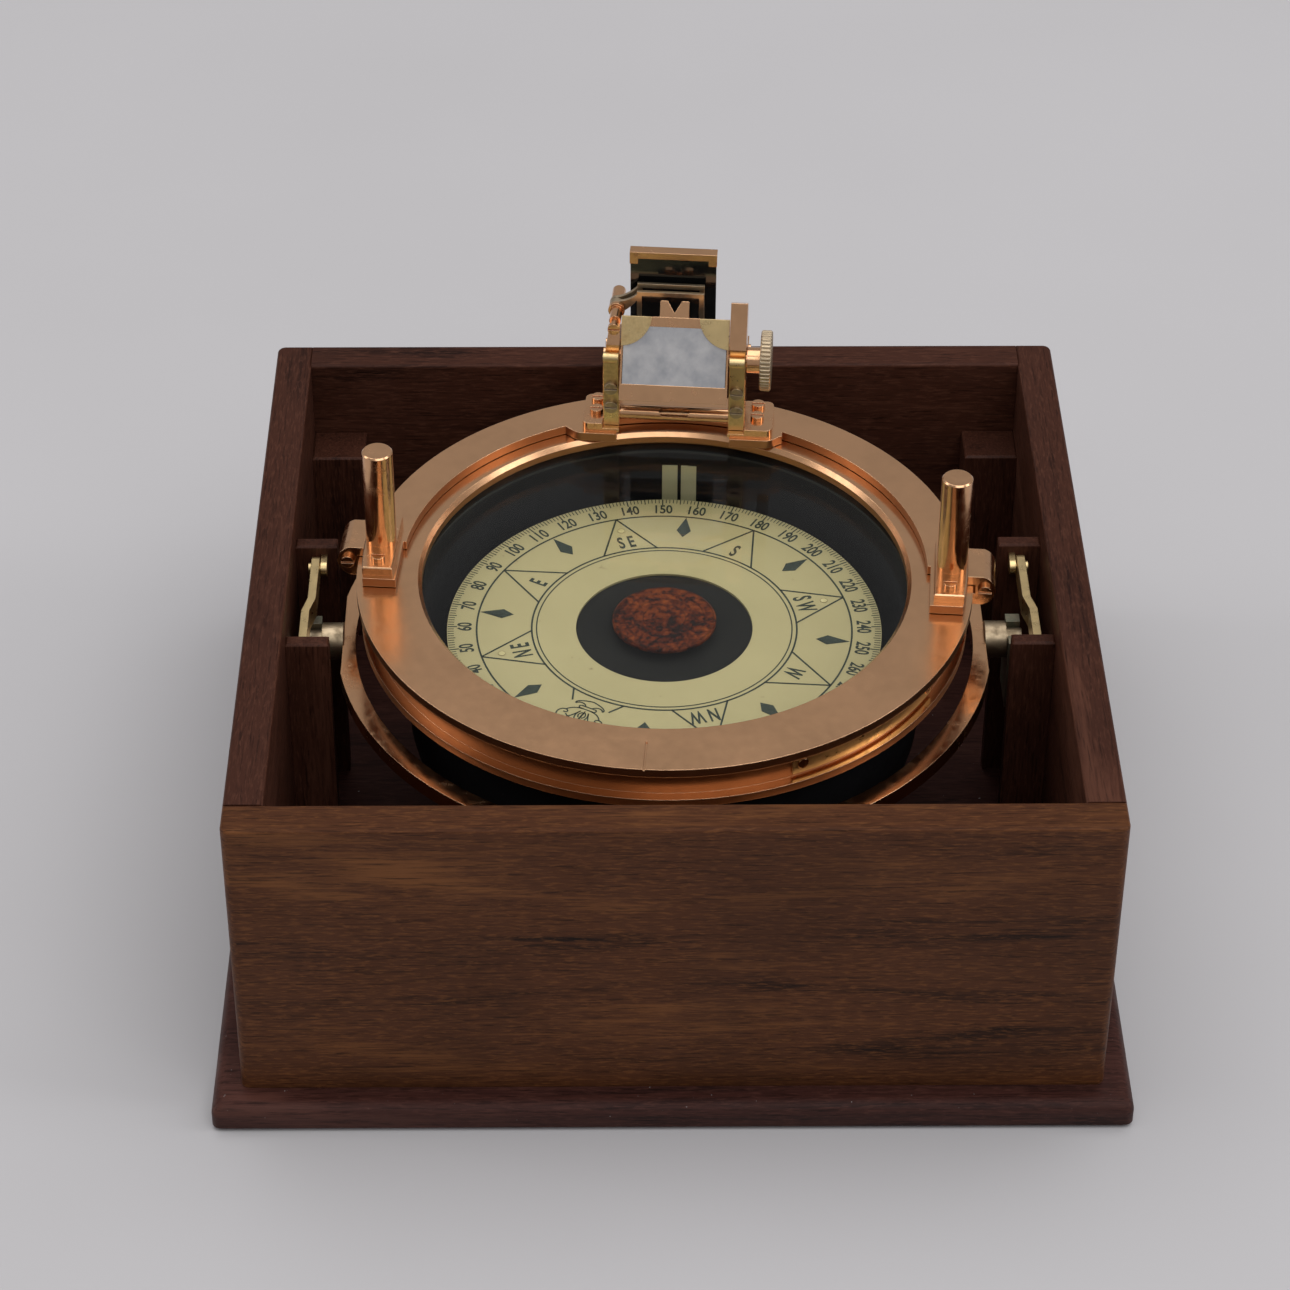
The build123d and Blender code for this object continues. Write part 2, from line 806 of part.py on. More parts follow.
# Lubber marks on the bowl's wall, at the back and at the right
lubber_marks = []
lubber_top = rim_z - lubber_drop
for angle in (90 + lubber_yaw, lubber_yaw):
    radial = Vector(cos(radians(angle)), sin(radians(angle)), 0)
    tangent = Vector(-sin(radians(angle)), cos(radians(angle)), 0)
    for half in (-1, 1):
        reach = bowl_inner_radius - lubber_thickness
        spot = axis_point + radial * reach + up * (lubber_top - lubber_height / 2)
        spot = spot + tangent * (half * (lubber_width + lubber_gap) / 2)
        with BuildPart() as mark:
            with BuildSketch(Plane(origin=spot, x_dir=tangent, z_dir=radial)):
                Rectangle(lubber_width, lubber_height)
            extrude(amount=3 * lubber_thickness)
            with BuildSketch(Plane(origin=(compass_x, 0, lubber_top - 2 * lubber_height))):
                Circle(bowl_inner_radius)
            extrude(amount=4 * lubber_height, mode=Mode.INTERSECT)
        lubber_marks.append(mark.part)
save(lubber_marks, "lubber_marks")

# Weights inside the bowl: a round one on its floor, and a curved one that balances the sight
with BuildPart() as base_weight:
    with BuildSketch(Plane(origin=(compass_x, 0, floor_z))):
        Circle(bowl_floor_radius - weight_inset)
        Circle(column_foot_radius + weight_fit, mode=Mode.SUBTRACT)
    extrude(amount=weight_height)
    chamfer(base_weight.faces().sort_by(Axis.Z)[-1].edges(), weight_chamfer)
save(base_weight.part, "base_weight")

balance_outer = bowl_inner_radius
with BuildPart() as balance_weight:
    with BuildSketch(Plane(origin=(compass_x, 0, straight_z))):
        Circle(balance_outer)
        Circle(balance_outer - balance_thickness, mode=Mode.SUBTRACT)
        with BuildLine():
            wedge = 2 * balance_outer
            start = radians(azimuth_yaw - 90 - balance_angle / 2)
            end = radians(azimuth_yaw - 90 + balance_angle / 2)
            Polyline(
                (0, 0), (wedge * cos(start), wedge * sin(start)), (wedge * cos(end), wedge * sin(end)), close=True
            )
        make_face(mode=Mode.INTERSECT)
    extrude(amount=balance_height)
save(balance_weight.part, "balance_weight")

# Filler plug, its head seated on the shell's round outside
with BuildPart() as filler_plug:
    with BuildSketch(
        Plane(origin=(compass_x, 0, straight_z + plug_rise), x_dir=(0, 1, 0), z_dir=(-1, 0, 0))
    ):
        Circle(plug_radius)
        RegularPolygon(plug_key, 6, mode=Mode.SUBTRACT)
    extrude(amount=bowl_wall_radius + plug_head)
    with BuildSketch(Plane(origin=(compass_x, 0, straight_z))):
        Circle(bowl_wall_radius)
    extrude(amount=2 * (plug_rise + plug_radius), mode=Mode.SUBTRACT)
save(filler_plug.part, "filler_plug")

# Plate on the collar at the front right
plate_mid_z = (verge_z - verge_flange + collar_bottom + lower_flange) / 2
with BuildPart() as collar_plate:
    with BuildSketch(Plane(origin=(compass_x, 0, plate_mid_z - plate_height / 2))):
        Circle(collar_radius + plate_thickness)
        Circle(collar_radius, mode=Mode.SUBTRACT)
        with BuildLine():
            reach = 2 * verge_radius
            first = radians(plate_angle - plate_span / 2)
            last = radians(plate_angle + plate_span / 2)
            Polyline(
                (0, 0),
                (reach * cos(first), reach * sin(first)),
                (reach * cos(last), reach * sin(last)),
                close=True,
            )
        make_face(mode=Mode.INTERSECT)
    extrude(amount=plate_height)
save(collar_plate.part, "collar_plate")

plate_screws = []
for end in (-1, 1):
    angle = radians(plate_angle + end * (plate_span / 2 - plate_screw_inset))
    radial = Vector(cos(angle), sin(angle), 0)
    spot = axis_point + radial * (collar_radius + plate_thickness) + up * plate_mid_z
    with BuildPart() as plate_screw:
        with BuildSketch(Plane(origin=spot, z_dir=radial)):
            Circle(plate_screw_radius)
        extrude(amount=plate_screw_height)
    plate_screws.append(plate_screw.part)
save(plate_screws, "plate_screws")

# Pivot column with its point
card_bottom = card_z - card_thickness
float_bottom = card_bottom - float_height
point_z = card_bottom - point_depth
column_top = float_bottom - column_neck
with BuildPart() as pivot_column:
    with BuildSketch(Plane(origin=(compass_x, 0, floor_z))):
        Circle(column_foot_radius)
    extrude(amount=column_foot_height)
    with BuildSketch(Plane(origin=(compass_x, 0, floor_z + column_foot_height))):
        Circle(column_radius)
    extrude(amount=column_top - floor_z - column_foot_height)
    with BuildSketch(Plane(origin=(compass_x, 0, column_top))):
        Circle(column_radius)
    with BuildSketch(Plane(origin=(compass_x, 0, point_z - point_sink))):
        Circle(point_radius)
    loft()
save(pivot_column.part, "pivot_column")

# Card, float, jewel cup, cap and magnets
with BuildPart() as card:
    with BuildSketch(Plane(origin=(compass_x, 0, card_bottom))):
        Circle(card_radius)
        Circle(card_hole_radius, mode=Mode.SUBTRACT)
    extrude(amount=card_thickness)
save(card.part, "card")

with BuildPart() as card_float:
    with BuildSketch(Plane(origin=(compass_x, 0, 0), x_dir=(1, 0, 0), z_dir=(0, -1, 0))):
        with BuildLine():
            Polyline(
                (cup_radius, card_bottom),
                (float_radius, card_bottom),
                (float_radius, card_bottom - float_step),
                (float_radius - float_taper, float_bottom),
                (column_radius + float_well, float_bottom),
                (cup_radius, point_z - cup_depth),
                close=True,
            )
        make_face()
    revolve(axis=Axis((compass_x, 0, 0), (0, 0, 1)))
save(card_float.part, "float")

with BuildPart() as jewel_cup:
    with BuildSketch(Plane(origin=(compass_x, 0, 0), x_dir=(1, 0, 0), z_dir=(0, -1, 0))):
        with BuildLine():
            Polyline(
                (0, card_bottom + cup_top),
                (cup_radius, card_bottom + cup_top),
                (cup_radius, point_z - cup_depth),
                (cup_radius - cup_wall, point_z - cup_depth),
                (point_radius + point_play, point_z - point_sink + point_play),
                (0, point_z - point_sink + point_play),
                close=True,
            )
        make_face()
    revolve(axis=Axis((compass_x, 0, 0), (0, 0, 1)))
save(jewel_cup.part, "jewel_cup")

cap_z = card_z + cap_rise
with BuildPart() as float_cap:
    with BuildSketch(Plane(origin=(compass_x, 0, card_bottom))):
        Circle(cap_radius - cap_neck)
        Circle(cup_radius, mode=Mode.SUBTRACT)
    extrude(amount=cap_z - cap_thickness - card_bottom)
    with BuildSketch(Plane(origin=(compass_x, 0, cap_z - cap_thickness))):
        Circle(cap_radius)
    extrude(amount=cap_thickness)
    chamfer(float_cap.faces().sort_by(Axis.Z)[-1].edges(), cap_chamfer)
save(float_cap.part, "float_cap")

magnets = []
for half in (-1, 1):
    north = Vector(-sin(radians(card_heading_yaw)), cos(radians(card_heading_yaw)), 0)
    east = Vector(cos(radians(card_heading_yaw)), sin(radians(card_heading_yaw)), 0)
    spot = axis_point + east * (half * magnet_spacing / 2) - north * (magnet_length / 2)
    with BuildPart() as magnet:
        with BuildSketch(Plane(origin=spot + up * (float_bottom - magnet_radius), z_dir=north)):
            Circle(magnet_radius)
        extrude(amount=magnet_length)
    magnets.append(magnet.part)
save(magnets, "magnets")

# Half ring of the azimuth circle: its ends are straight inside, and two lands carry the sight's feet
tip_inner = half_ring_inner_radius + half_ring_notch
block_in = tip_inner + block_step
land_rear = sqrt(half_ring_outer_radius**2 - (land_outer - sight_shift) ** 2) - land_rear_inset
with BuildPart() as half_ring:
    with BuildSketch(circle_plane(circle_z)):
        Circle(half_ring_outer_radius)
        Circle(half_ring_inner_radius, mode=Mode.SUBTRACT)
        with Locations((0, half_ring_front + half_ring_outer_radius)):
            Rectangle(2 * half_ring_outer_radius, 2 * half_ring_outer_radius, mode=Mode.INTERSECT)
        with Locations((0, half_ring_notch_rear - half_ring_outer_radius)):
            Rectangle(2 * tip_inner, 2 * half_ring_outer_radius, mode=Mode.SUBTRACT)
        for side in (side_left, side_right):
            with BuildLine():
                Polyline(
                    (sight_shift + side * land_inner, land_front),
                    (sight_shift + side * land_outer, land_front),
                    (sight_shift + side * (land_outer + land_ramp), land_front + land_ramp_rise),
                    (sight_shift + side * (land_outer + land_ramp), land_rear),
                    (sight_shift + side * land_inner, land_rear),
                    close=True,
                )
            make_face()
    extrude(amount=half_ring_height)
    ramp_edges = half_ring.edges().filter_by(Axis.Z).filter_by(
        lambda edge: abs((edge.center() - axis_point).dot(away) - land_front) < running_clearance
        and abs((edge.center() - axis_point).dot(across) - sight_shift) > land_outer - running_clearance
    )
    fillet(ramp_edges, land_round)
save(half_ring.part, "half_ring")

# Handle blocks and posts
handle_blocks = []
handle_posts = []
circle_screws = []
guide_lugs = []
lug_start = half_ring_outer_radius + lug_seat
lug_reach = verge_radius + lug_overhang
lug_bottom = rim_z - lug_drop
hook_inner = verge_radius + lug_gap
toe_inner = collar_radius + lug_toe_inset
toe_z = verge_z - verge_flange - lug_toe_gap
for side in (side_left, side_right):
    block_screw_plane = Plane(
        origin=circle_point(side * (half_ring_outer_radius - block_screw_inset), block_screw_y, block_z),
        x_dir=across,
        z_dir=up,
    )
    with BuildPart() as block:
        with BuildSketch(circle_plane(half_ring_z)):
            Circle(half_ring_outer_radius)
            with Locations((side * (block_in + half_ring_outer_radius) / 2, (block_front + block_rear) / 2)):
                Rectangle(half_ring_outer_radius - block_in, block_rear - block_front, mode=Mode.INTERSECT)
        extrude(amount=block_height)
        chamfer(block.faces().sort_by(Axis.Z)[-1].edges(), block_chamfer)
        screw_hole(block_screw_plane)
    handle_blocks.append(block.part)
    with BuildPart() as handle_post:
        with BuildSketch(circle_plane(block_z)):
            with Locations((side * (half_ring_outer_radius - post_inset), post_y)):
                Circle(post_radius)
        extrude(amount=rim_z + post_rise - block_z)
        chamfer(handle_post.faces().sort_by(Axis.Z)[-1].edges(), post_chamfer)
    handle_posts.append(handle_post.part)
    circle_screws.append(screw(block_screw_plane))
    # A guide lug reaches over the verge's edge and hooks under it
    lug_plane = Plane(origin=circle_point(0, lug_front, 0), x_dir=across * side, z_dir=away * -side)
    with BuildPart() as lug:
        with BuildSketch(lug_plane):
            with BuildLine():
                Line((lug_start, half_ring_z), (lug_reach - lug_round, half_ring_z))
                ThreePointArc(
                    (lug_reach - lug_round, half_ring_z),
                    (lug_reach, (half_ring_z + lug_bottom) / 2 + lug_belly),
                    (lug_reach - lug_round, lug_bottom),
                )
                Polyline(
                    (lug_reach - lug_round, lug_bottom),
                    (toe_inner, lug_bottom),
                    (toe_inner, toe_z),
                    (hook_inner, toe_z),
                    (hook_inner, circle_z),
                    (lug_start, circle_z),
                    (lug_start, half_ring_z),
                )
            make_face()
        extrude(amount=-side * lug_length)
        lug_screw_plane = Plane(
            origin=circle_point(side * (lug_reach - lug_screw_inset), lug_front, half_ring_z - lug_screw_drop),
            x_dir=across,
            z_dir=-away,
        )
        screw_hole(lug_screw_plane)
    guide_lugs.append(lug.part)
    circle_screws.append(screw(lug_screw_plane))
save(handle_blocks, "handle_blocks")
save(handle_posts, "handle_posts")
save(guide_lugs, "guide_lugs")

# Sight brackets: a foot pad, an upright cheek and an arm that leans back beside the prism
cheek_out = pad_inner
shade_axis = (shade_axis_x, rim_z + shade_axis_rise)
axis_spot = (tilt_axis_y, tilt_axis_z)
level_z = rim_z + level_rise
mirror_axis_z = rim_z + mirror_axis_rise
strap_front = cheek_front - strap_thickness
strap_middle = (cheek_in + cheek_out) / 2
strap_screws = []
straps = []
bracket_sides = (
    (side_left, "left_bracket", arm_end_left, pad_outer_left, foot_screw_left),
    (side_right, "right_bracket", arm_end_right, pad_outer_right, foot_screw_right),
)
for side, name, arm_end, pad_outer, foot_screw_x in bracket_sides:
    foot_planes = [
        Plane(origin=sight_point(side * foot_screw_x, y, pad_z), x_dir=across, z_dir=up)
        for y in (foot_screw_front, foot_screw_rear)
    ]
    strap_planes = [
        Plane(origin=sight_point(side * strap_middle, strap_front, rim_z + rise), x_dir=across, z_dir=-away)
        for rise in (strap_screw_low, strap_screw_high)
    ]
    start_x = cheek_in if side > 0 else -cheek_out
    arm_front_low = slope_side(arm_start, -arm_in_front)
    arm_front_high = slope_side(arm_end, -arm_in_front)
    arm_back_high = slope_side(arm_end, arm_depth - arm_in_front)
    arm_back_low = slope_side(arm_start + arm_heel, arm_depth - arm_in_front)
    with BuildPart() as bracket:
        with BuildSketch(side_plane(start_x)):
            with BuildLine():
                Polyline(
                    (cheek_front, half_ring_z),
                    (cheek_back, half_ring_z),
                    (cheek_back, rim_z + ear_bottom),
                    (ear_rear, rim_z + ear_bottom),
                    (ear_rear, rim_z + ear_bottom + ear_height),
                    (cheek_back, rim_z + ear_bottom + ear_height),
                    (cheek_back, arm_back_low[1]),
                    arm_back_high,
                    arm_front_high,
                    (cheek_front, arm_front_low[1]),
                    close=True,
                )
            make_face()
            with Locations(axis_spot):
                Circle(tilt_shaft_radius + running_clearance, mode=Mode.SUBTRACT)
            with Locations((level_y, level_z)):
                Circle(level_radius, mode=Mode.SUBTRACT)
            with Locations((mirror_axis_y, mirror_axis_z)):
                Circle(mirror_pin_radius, mode=Mode.SUBTRACT)
        extrude(amount=cheek_out - cheek_in)
        with BuildSketch(sight_plane(half_ring_z)) as pad_outline:
            with Locations((side * (pad_inner + pad_outer) / 2, (pad_front + pad_rear) / 2)):
                Rectangle(pad_outer - pad_inner, pad_rear - pad_front)
            outer_corners = pad_outline.vertices().sort_by(
                lambda corner: abs((Vector(corner) - axis_point).dot(across) - sight_shift)
            )[2:]
            fillet(outer_corners, pad_round)
        extrude(amount=pad_height)
        with BuildSketch(sight_plane(half_ring_z)):
            with Locations((side * (cheek_in + pad_inner) / 2, (pad_front + cheek_front) / 2)):
                Rectangle(pad_inner - cheek_in, cheek_front - pad_front)
        extrude(amount=strap_bottom - (half_ring_z - rim_z) - strap_gap)
        for plane in foot_planes:
            screw_hole(plane)
        for plane in strap_planes:
            screw_hole(plane.offset(-strap_thickness))
        # The left arm narrows to its top and carries the boss of the shades' pin
        if side == side_left:
            arm_top_z = slope_side(arm_end, -arm_in_front)[1]
            with BuildSketch(front_plane(shade_boss_rear)):
                with BuildLine():
                    Polyline(
                        (-cheek_out, rim_z + arm_taper_start),
                        (arm_taper - cheek_out, arm_top_z),
                        (-2 * cheek_out, arm_top_z),
                        (-2 * cheek_out, rim_z + arm_taper_start),
                        close=True,
                    )
                make_face()
            extrude(amount=shade_boss_rear - tilt_axis_y + 2 * arm_depth, mode=Mode.SUBTRACT)
            with BuildSketch(front_plane(shade_boss_rear)):
                with Locations(shade_axis):
                    Circle(shade_boss_radius)
            extrude(amount=shade_boss_rear - shade_boss_front)
            with BuildSketch(front_plane(shade_boss_rear)):
                with Locations(shade_axis):
                    Circle(shade_washer_radius)
            extrude(amount=shade_washer)
            with BuildSketch(front_plane(shade_boss_rear)):
                with Locations(shade_axis):
                    Circle(shade_pin_radius)
            extrude(amount=2 * shade_boss_rear, mode=Mode.SUBTRACT)
            with BuildSketch(front_plane(shade_pin_head_y)):
                with Locations(shade_axis):
                    Circle(shade_pin_head)
            extrude(amount=2 * arm_depth, mode=Mode.SUBTRACT)
    save(bracket.part, name)
    circle_screws += [screw(plane) for plane in foot_planes]
    # A strap lies on the cheek's front, and its top is rolled over
    strap_top = tilt_axis_z + strap_rise
    with BuildPart() as strap:
        with BuildSketch(front_plane(cheek_front)):
            with Locations((side * strap_middle, (rim_z + strap_bottom + strap_top) / 2)):
                Rectangle(strap_width, strap_top - rim_z - strap_bottom)
        extrude(amount=strap_thickness)
        with BuildSketch(side_plane(side * strap_middle - strap_width / 2)):
            with Locations((cheek_front - strap_roll_radius, strap_top)):
                Circle(strap_roll_radius)
        extrude(amount=strap_width)
        for plane in strap_planes:
            screw_hole(plane)
    straps.append(strap.part)
    for plane in strap_planes:
        strap_screws.append(screw(plane))
save(circle_screws, "circle_screws")
save(straps, "straps")
save(strap_screws, "strap_screws")

# Spirit level: a tube between the cheeks, open over its vial
with BuildPart() as level_tube:
    with BuildSketch(side_plane(-cheek_out)):
        with Locations((level_y, level_z)):
            Circle(level_radius)
            Circle(vial_radius + running_clearance, mode=Mode.SUBTRACT)
    extrude(amount=2 * cheek_out)
    window_plane = Plane(
        origin=sight_point(0, level_y, level_z), x_dir=across, z_dir=(up - away).normalized()
    )
    with BuildSketch(window_plane.offset(level_radius / 2)):
        SlotOverall(level_window, 2 * vial_radius - screw_slot)
    extrude(amount=level_radius, mode=Mode.SUBTRACT)
save(level_tube.part, "level_tube")

with BuildPart() as level_vial:
    with BuildSketch(side_plane(-level_vial_length / 2)):
        with Locations((level_y, level_z)):
            Circle(vial_radius)
    extrude(amount=level_vial_length)
save(level_vial.part, "level_vial")

# Prism and carrier
apex_along = (prism_low + prism_high) / 2
apex_depth = (prism_high - prism_low) / 2
carrier_half = cheek_in - carrier_gap
with BuildPart() as prism:
    with BuildSketch(side_plane(-prism_width / 2)):
        with BuildLine():
            Polyline(
                slope_side(prism_low, 0), slope_side(prism_high, 0), slope_side(apex_along, apex_depth), close=True
            )
        make_face()
    extrude(amount=prism_width)
save(prism.part, "prism")

with BuildPart() as carrier:
    for start in (-carrier_half, carrier_half - carrier_side):
        with BuildSketch(side_plane(start)):
            with BuildLine():
                Polyline(
                    slope_side(carrier_low, 0),
                    slope_side(carrier_high, 0),
                    slope_side(carrier_high, carrier_bar),
                    slope_side(apex_along + carrier_ridge, apex_depth + carrier_back),
                    slope_side(apex_along - carrier_ridge, apex_depth + carrier_back),
                    slope_side(carrier_low, carrier_plate),
                    close=True,
                )
            make_face()
        extrude(amount=carrier_side)
    with BuildSketch(slope_plane(0)):
        with Locations((0, (carrier_low + prism_low) / 2)):
            Rectangle(2 * carrier_half, prism_low - carrier_low)
        with Locations((0, carrier_low)):
            Rectangle(carrier_mark_width, carrier_mark_height, mode=Mode.SUBTRACT)
    extrude(amount=-carrier_plate)
    with BuildSketch(slope_plane(0)):
        with Locations((0, (carrier_high + prism_high) / 2)):
            Rectangle(2 * carrier_half, carrier_high - prism_high)
    extrude(amount=-carrier_bar)
save(carrier.part, "prism_carrier")

# Notched vane that stands on the carrier's top bar
with BuildPart() as notch_vane:
    with BuildSketch(slope_plane(0)):
        with BuildLine():
            half_notch = notch_width / 2
            vane_base = carrier_high
            vane_top = carrier_high + notch_height
            Polyline(
                (notch_center - half_notch, vane_base),
                (notch_center - half_notch, vane_top),
                (notch_center - half_notch + notch_top, vane_top),
                (notch_center, vane_top - notch_depth),
                (notch_center + half_notch - notch_top, vane_top),
                (notch_center + half_notch, vane_top),
                (notch_center + half_notch, vane_base),
                close=True,
            )
        make_face()
    extrude(amount=-notch_thickness)
    vane_corners = notch_vane.edges().filter_by(Axis(face_point, slope_back))
    outer_corners = vane_corners.filter_by(
        lambda edge: (edge.center() - face_point).dot(slope_up) > vane_top - notch_round
        and abs((edge.center() - face_point).dot(across) - notch_center) > half_notch - notch_round
    )
    fillet(outer_corners, notch_round)
save(notch_vane.part, "notch_vane")

# Corner clips that hold the prism's face
clips = []
for side in (side_left, side_right):
    corner = (side * carrier_half, carrier_high)
    with BuildPart() as clip:
        with BuildSketch(slope_plane(0)):
            with BuildLine():
                Line(corner, (side * (carrier_half - clip_size), carrier_high))
                RadiusArc(
                    (side * (carrier_half - clip_size), carrier_high),
                    (side * carrier_half, carrier_high - clip_size),
                    -side * clip_size * clip_bow,
                )
                Line((side * carrier_half, carrier_high - clip_size), corner)
            make_face()
        extrude(amount=clip_thickness)
    clips.append(clip.part)
save(clips, "corner_clips")

# Tilt shaft on the right, pivot stub on the left, and the knob
knob_start = cheek_out + carrier_gap + knob_boss_length
tilt_shafts = []
with BuildPart() as tilt_shaft:
    with BuildSketch(side_plane(carrier_half)):
        with Locations(axis_spot):
            Circle(tilt_shaft_radius)
    extrude(amount=knob_start - carrier_half)
    with BuildSketch(side_plane(cheek_out + carrier_gap)):
        with Locations(axis_spot):
            Circle(knob_boss_radius)
    extrude(amount=knob_boss_length)
tilt_shafts.append(tilt_shaft.part)
with BuildPart() as tilt_stub:
    with BuildSketch(side_plane(-cheek_out)):
        with Locations(axis_spot):
            Circle(tilt_shaft_radius)
    extrude(amount=cheek_out - carrier_half)
tilt_shafts.append(tilt_stub.part)
save(tilt_shafts, "tilt_shafts")

with BuildPart() as knob:
    with BuildSketch(side_plane(knob_start)):
        with Locations(axis_spot):
            Circle(knob_radius)
    extrude(amount=knob_thickness)
    chamfer(knob.edges().filter_by(GeomType.CIRCLE), knob_chamfer)
    with BuildSketch(side_plane(knob_start)):
        with Locations(axis_spot):
            with PolarLocations(knob_radius, knob_teeth):
                Rectangle(2 * knob_tooth, 2 * knob_tooth, rotation=45)
    extrude(amount=knob_thickness, mode=Mode.SUBTRACT)
save(knob.part, "tilt_knob")

# Pin of the shades: it runs from the left arm's front to a nut behind the shades
with BuildPart() as shade_pin:
    with BuildSketch(front_plane(shade_pin_head_y)):
        with Locations(shade_axis):
            Circle(shade_pin_head)
    extrude(amount=screw_head_height)
    with BuildSketch(front_plane(shade_nut_y)):
        with Locations(shade_axis):
            Circle(shade_pin_radius)
    extrude(amount=shade_nut_y - shade_pin_head_y)
    with BuildSketch(front_plane(shade_nut_rear)):
        with Locations(shade_axis):
            Circle(shade_nut_radius)
    extrude(amount=shade_nut_rear - rear_shade_y - shade_thickness / 2 - shade_hub_gap)
    with BuildSketch(front_plane(shade_pin_head_y - screw_head_height)):
        with Locations(shade_axis):
            Rectangle(2 * shade_pin_head, screw_slot)
    extrude(amount=-screw_slot_depth, mode=Mode.SUBTRACT)
save(shade_pin.part, "shade_pin")

# Two shades, each a thin frame with an arm and a hub on the pin
shades = (
    ("front_shade", front_shade_y, front_shade_top, rear_shade_y - front_shade_y - shade_hub_gap),
    ("rear_shade", rear_shade_y, rear_shade_top, shade_thickness),
)
for name, y, top, hub_depth in shades:
    front = y - shade_thickness / 2
    rear_plane = front_plane(y + shade_thickness / 2)
    low = rim_z + shade_bottom
    high = rim_z + top
    frame_left = shade_center_x - shade_width / 2
    with BuildPart() as shade:
        with BuildSketch(rear_plane):
            with Locations((shade_center_x, (low + high) / 2)):
                Rectangle(shade_width, high - low)
                Rectangle(shade_width - 2 * shade_frame, high - low - 2 * shade_frame, mode=Mode.SUBTRACT)
            arm_end_x = frame_left + shade_frame / 2
            arm_start_z = shade_axis[1] + shade_hub_radius
            middle_x = (shade_axis_x + arm_end_x) / 2
            middle_z = (arm_start_z + high) / 2 - shade_arm_sag / 2
            with BuildLine():
                ThreePointArc((shade_axis_x, arm_start_z), (middle_x, middle_z), (arm_end_x, high))
                Line((arm_end_x, high), (arm_end_x, high - shade_arm_width))
                ThreePointArc(
                    (arm_end_x, high - shade_arm_width),
                    (middle_x + shade_arm_top, middle_z - shade_arm_width),
                    (shade_axis_x, arm_start_z - 2 * shade_hub_radius),
                )
                Line((shade_axis_x, arm_start_z - 2 * shade_hub_radius), (shade_axis_x, arm_start_z))
            make_face()
        extrude(amount=shade_thickness)
        with BuildSketch(front_plane(front + hub_depth)):
            with Locations(shade_axis):
                Circle(shade_hub_radius)
        extrude(amount=hub_depth)
        with BuildSketch(front_plane(front + hub_depth)):
            with Locations(shade_axis):
                Circle(shade_pin_radius + running_clearance)
        extrude(amount=hub_depth, mode=Mode.SUBTRACT)
    save(shade.part, name)
    with BuildPart() as pane:
        with BuildSketch(front_plane(y + shade_glass / 2)):
            with Locations((shade_center_x, (low + high) / 2)):
                Rectangle(shade_width - 2 * shade_frame, high - low - 2 * shade_frame)
        extrude(amount=shade_glass)
    save(pane.part, name + "_glass")

# Rear mirror: a dark leaf with the eye of its hinge, under a bar with a small piece inside each corner
mirror_low = mirror_axis_z + mirror_start
mirror_high = rim_z + mirror_top
bar_low = mirror_high - mirror_bar
mirror_back = mirror_axis_y + mirror_bar_depth / 2
leaf_front = mirror_back - (mirror_bar_depth - mirror_leaf) / 2
leaf_width = mirror_width - 2 * mirror_leaf_inset
with BuildPart() as mirror_frame:
    with BuildSketch(front_plane(mirror_back)):
        with Locations((mirror_center, mirror_high - mirror_bar / 2)):
            Rectangle(mirror_width, mirror_bar)
    extrude(amount=mirror_bar_depth)
    for side in (side_left, side_right):
        with BuildSketch(front_plane(leaf_front - mirror_leaf)):
            with Locations(
                (mirror_center + side * (mirror_width - mirror_corner) / 2, bar_low - mirror_corner_height / 2)
            ):
                Rectangle(mirror_corner, mirror_corner_height)
        extrude(amount=(mirror_bar_depth - mirror_leaf) / 2)
save(mirror_frame.part, "mirror_frame")

with BuildPart() as rear_mirror:
    with BuildSketch(front_plane(leaf_front)):
        with Locations((mirror_center, (mirror_low + bar_low) / 2)):
            Rectangle(leaf_width, bar_low - mirror_low)
    extrude(amount=mirror_leaf)
    with BuildSketch(side_plane(mirror_center - leaf_width / 2)):
        with Locations((mirror_axis_y, mirror_axis_z)):
            Circle(mirror_eye_radius)
        with Locations((mirror_axis_y, (mirror_axis_z + mirror_low + mirror_neck_sink) / 2)):
            Rectangle(mirror_neck, mirror_low - mirror_axis_z + mirror_neck_sink)
        with Locations((mirror_axis_y, mirror_axis_z)):
            Circle(mirror_pin_radius + running_clearance, mode=Mode.SUBTRACT)
    extrude(amount=leaf_width)
save(rear_mirror.part, "rear_mirror")

with BuildPart() as mirror_pin:
    with BuildSketch(side_plane(-cheek_out - mirror_pin_reach)):
        with Locations((mirror_axis_y, mirror_axis_z)):
            Circle(mirror_pin_radius)
    extrude(amount=2 * (cheek_out + mirror_pin_reach))
save(mirror_pin.part, "mirror_pin")
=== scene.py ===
"""Looks of the azimuth compass: procedural materials, card print, luminous dots, light and camera."""
import math

import bmesh
import bpy
from mathutils import Matrix, Vector

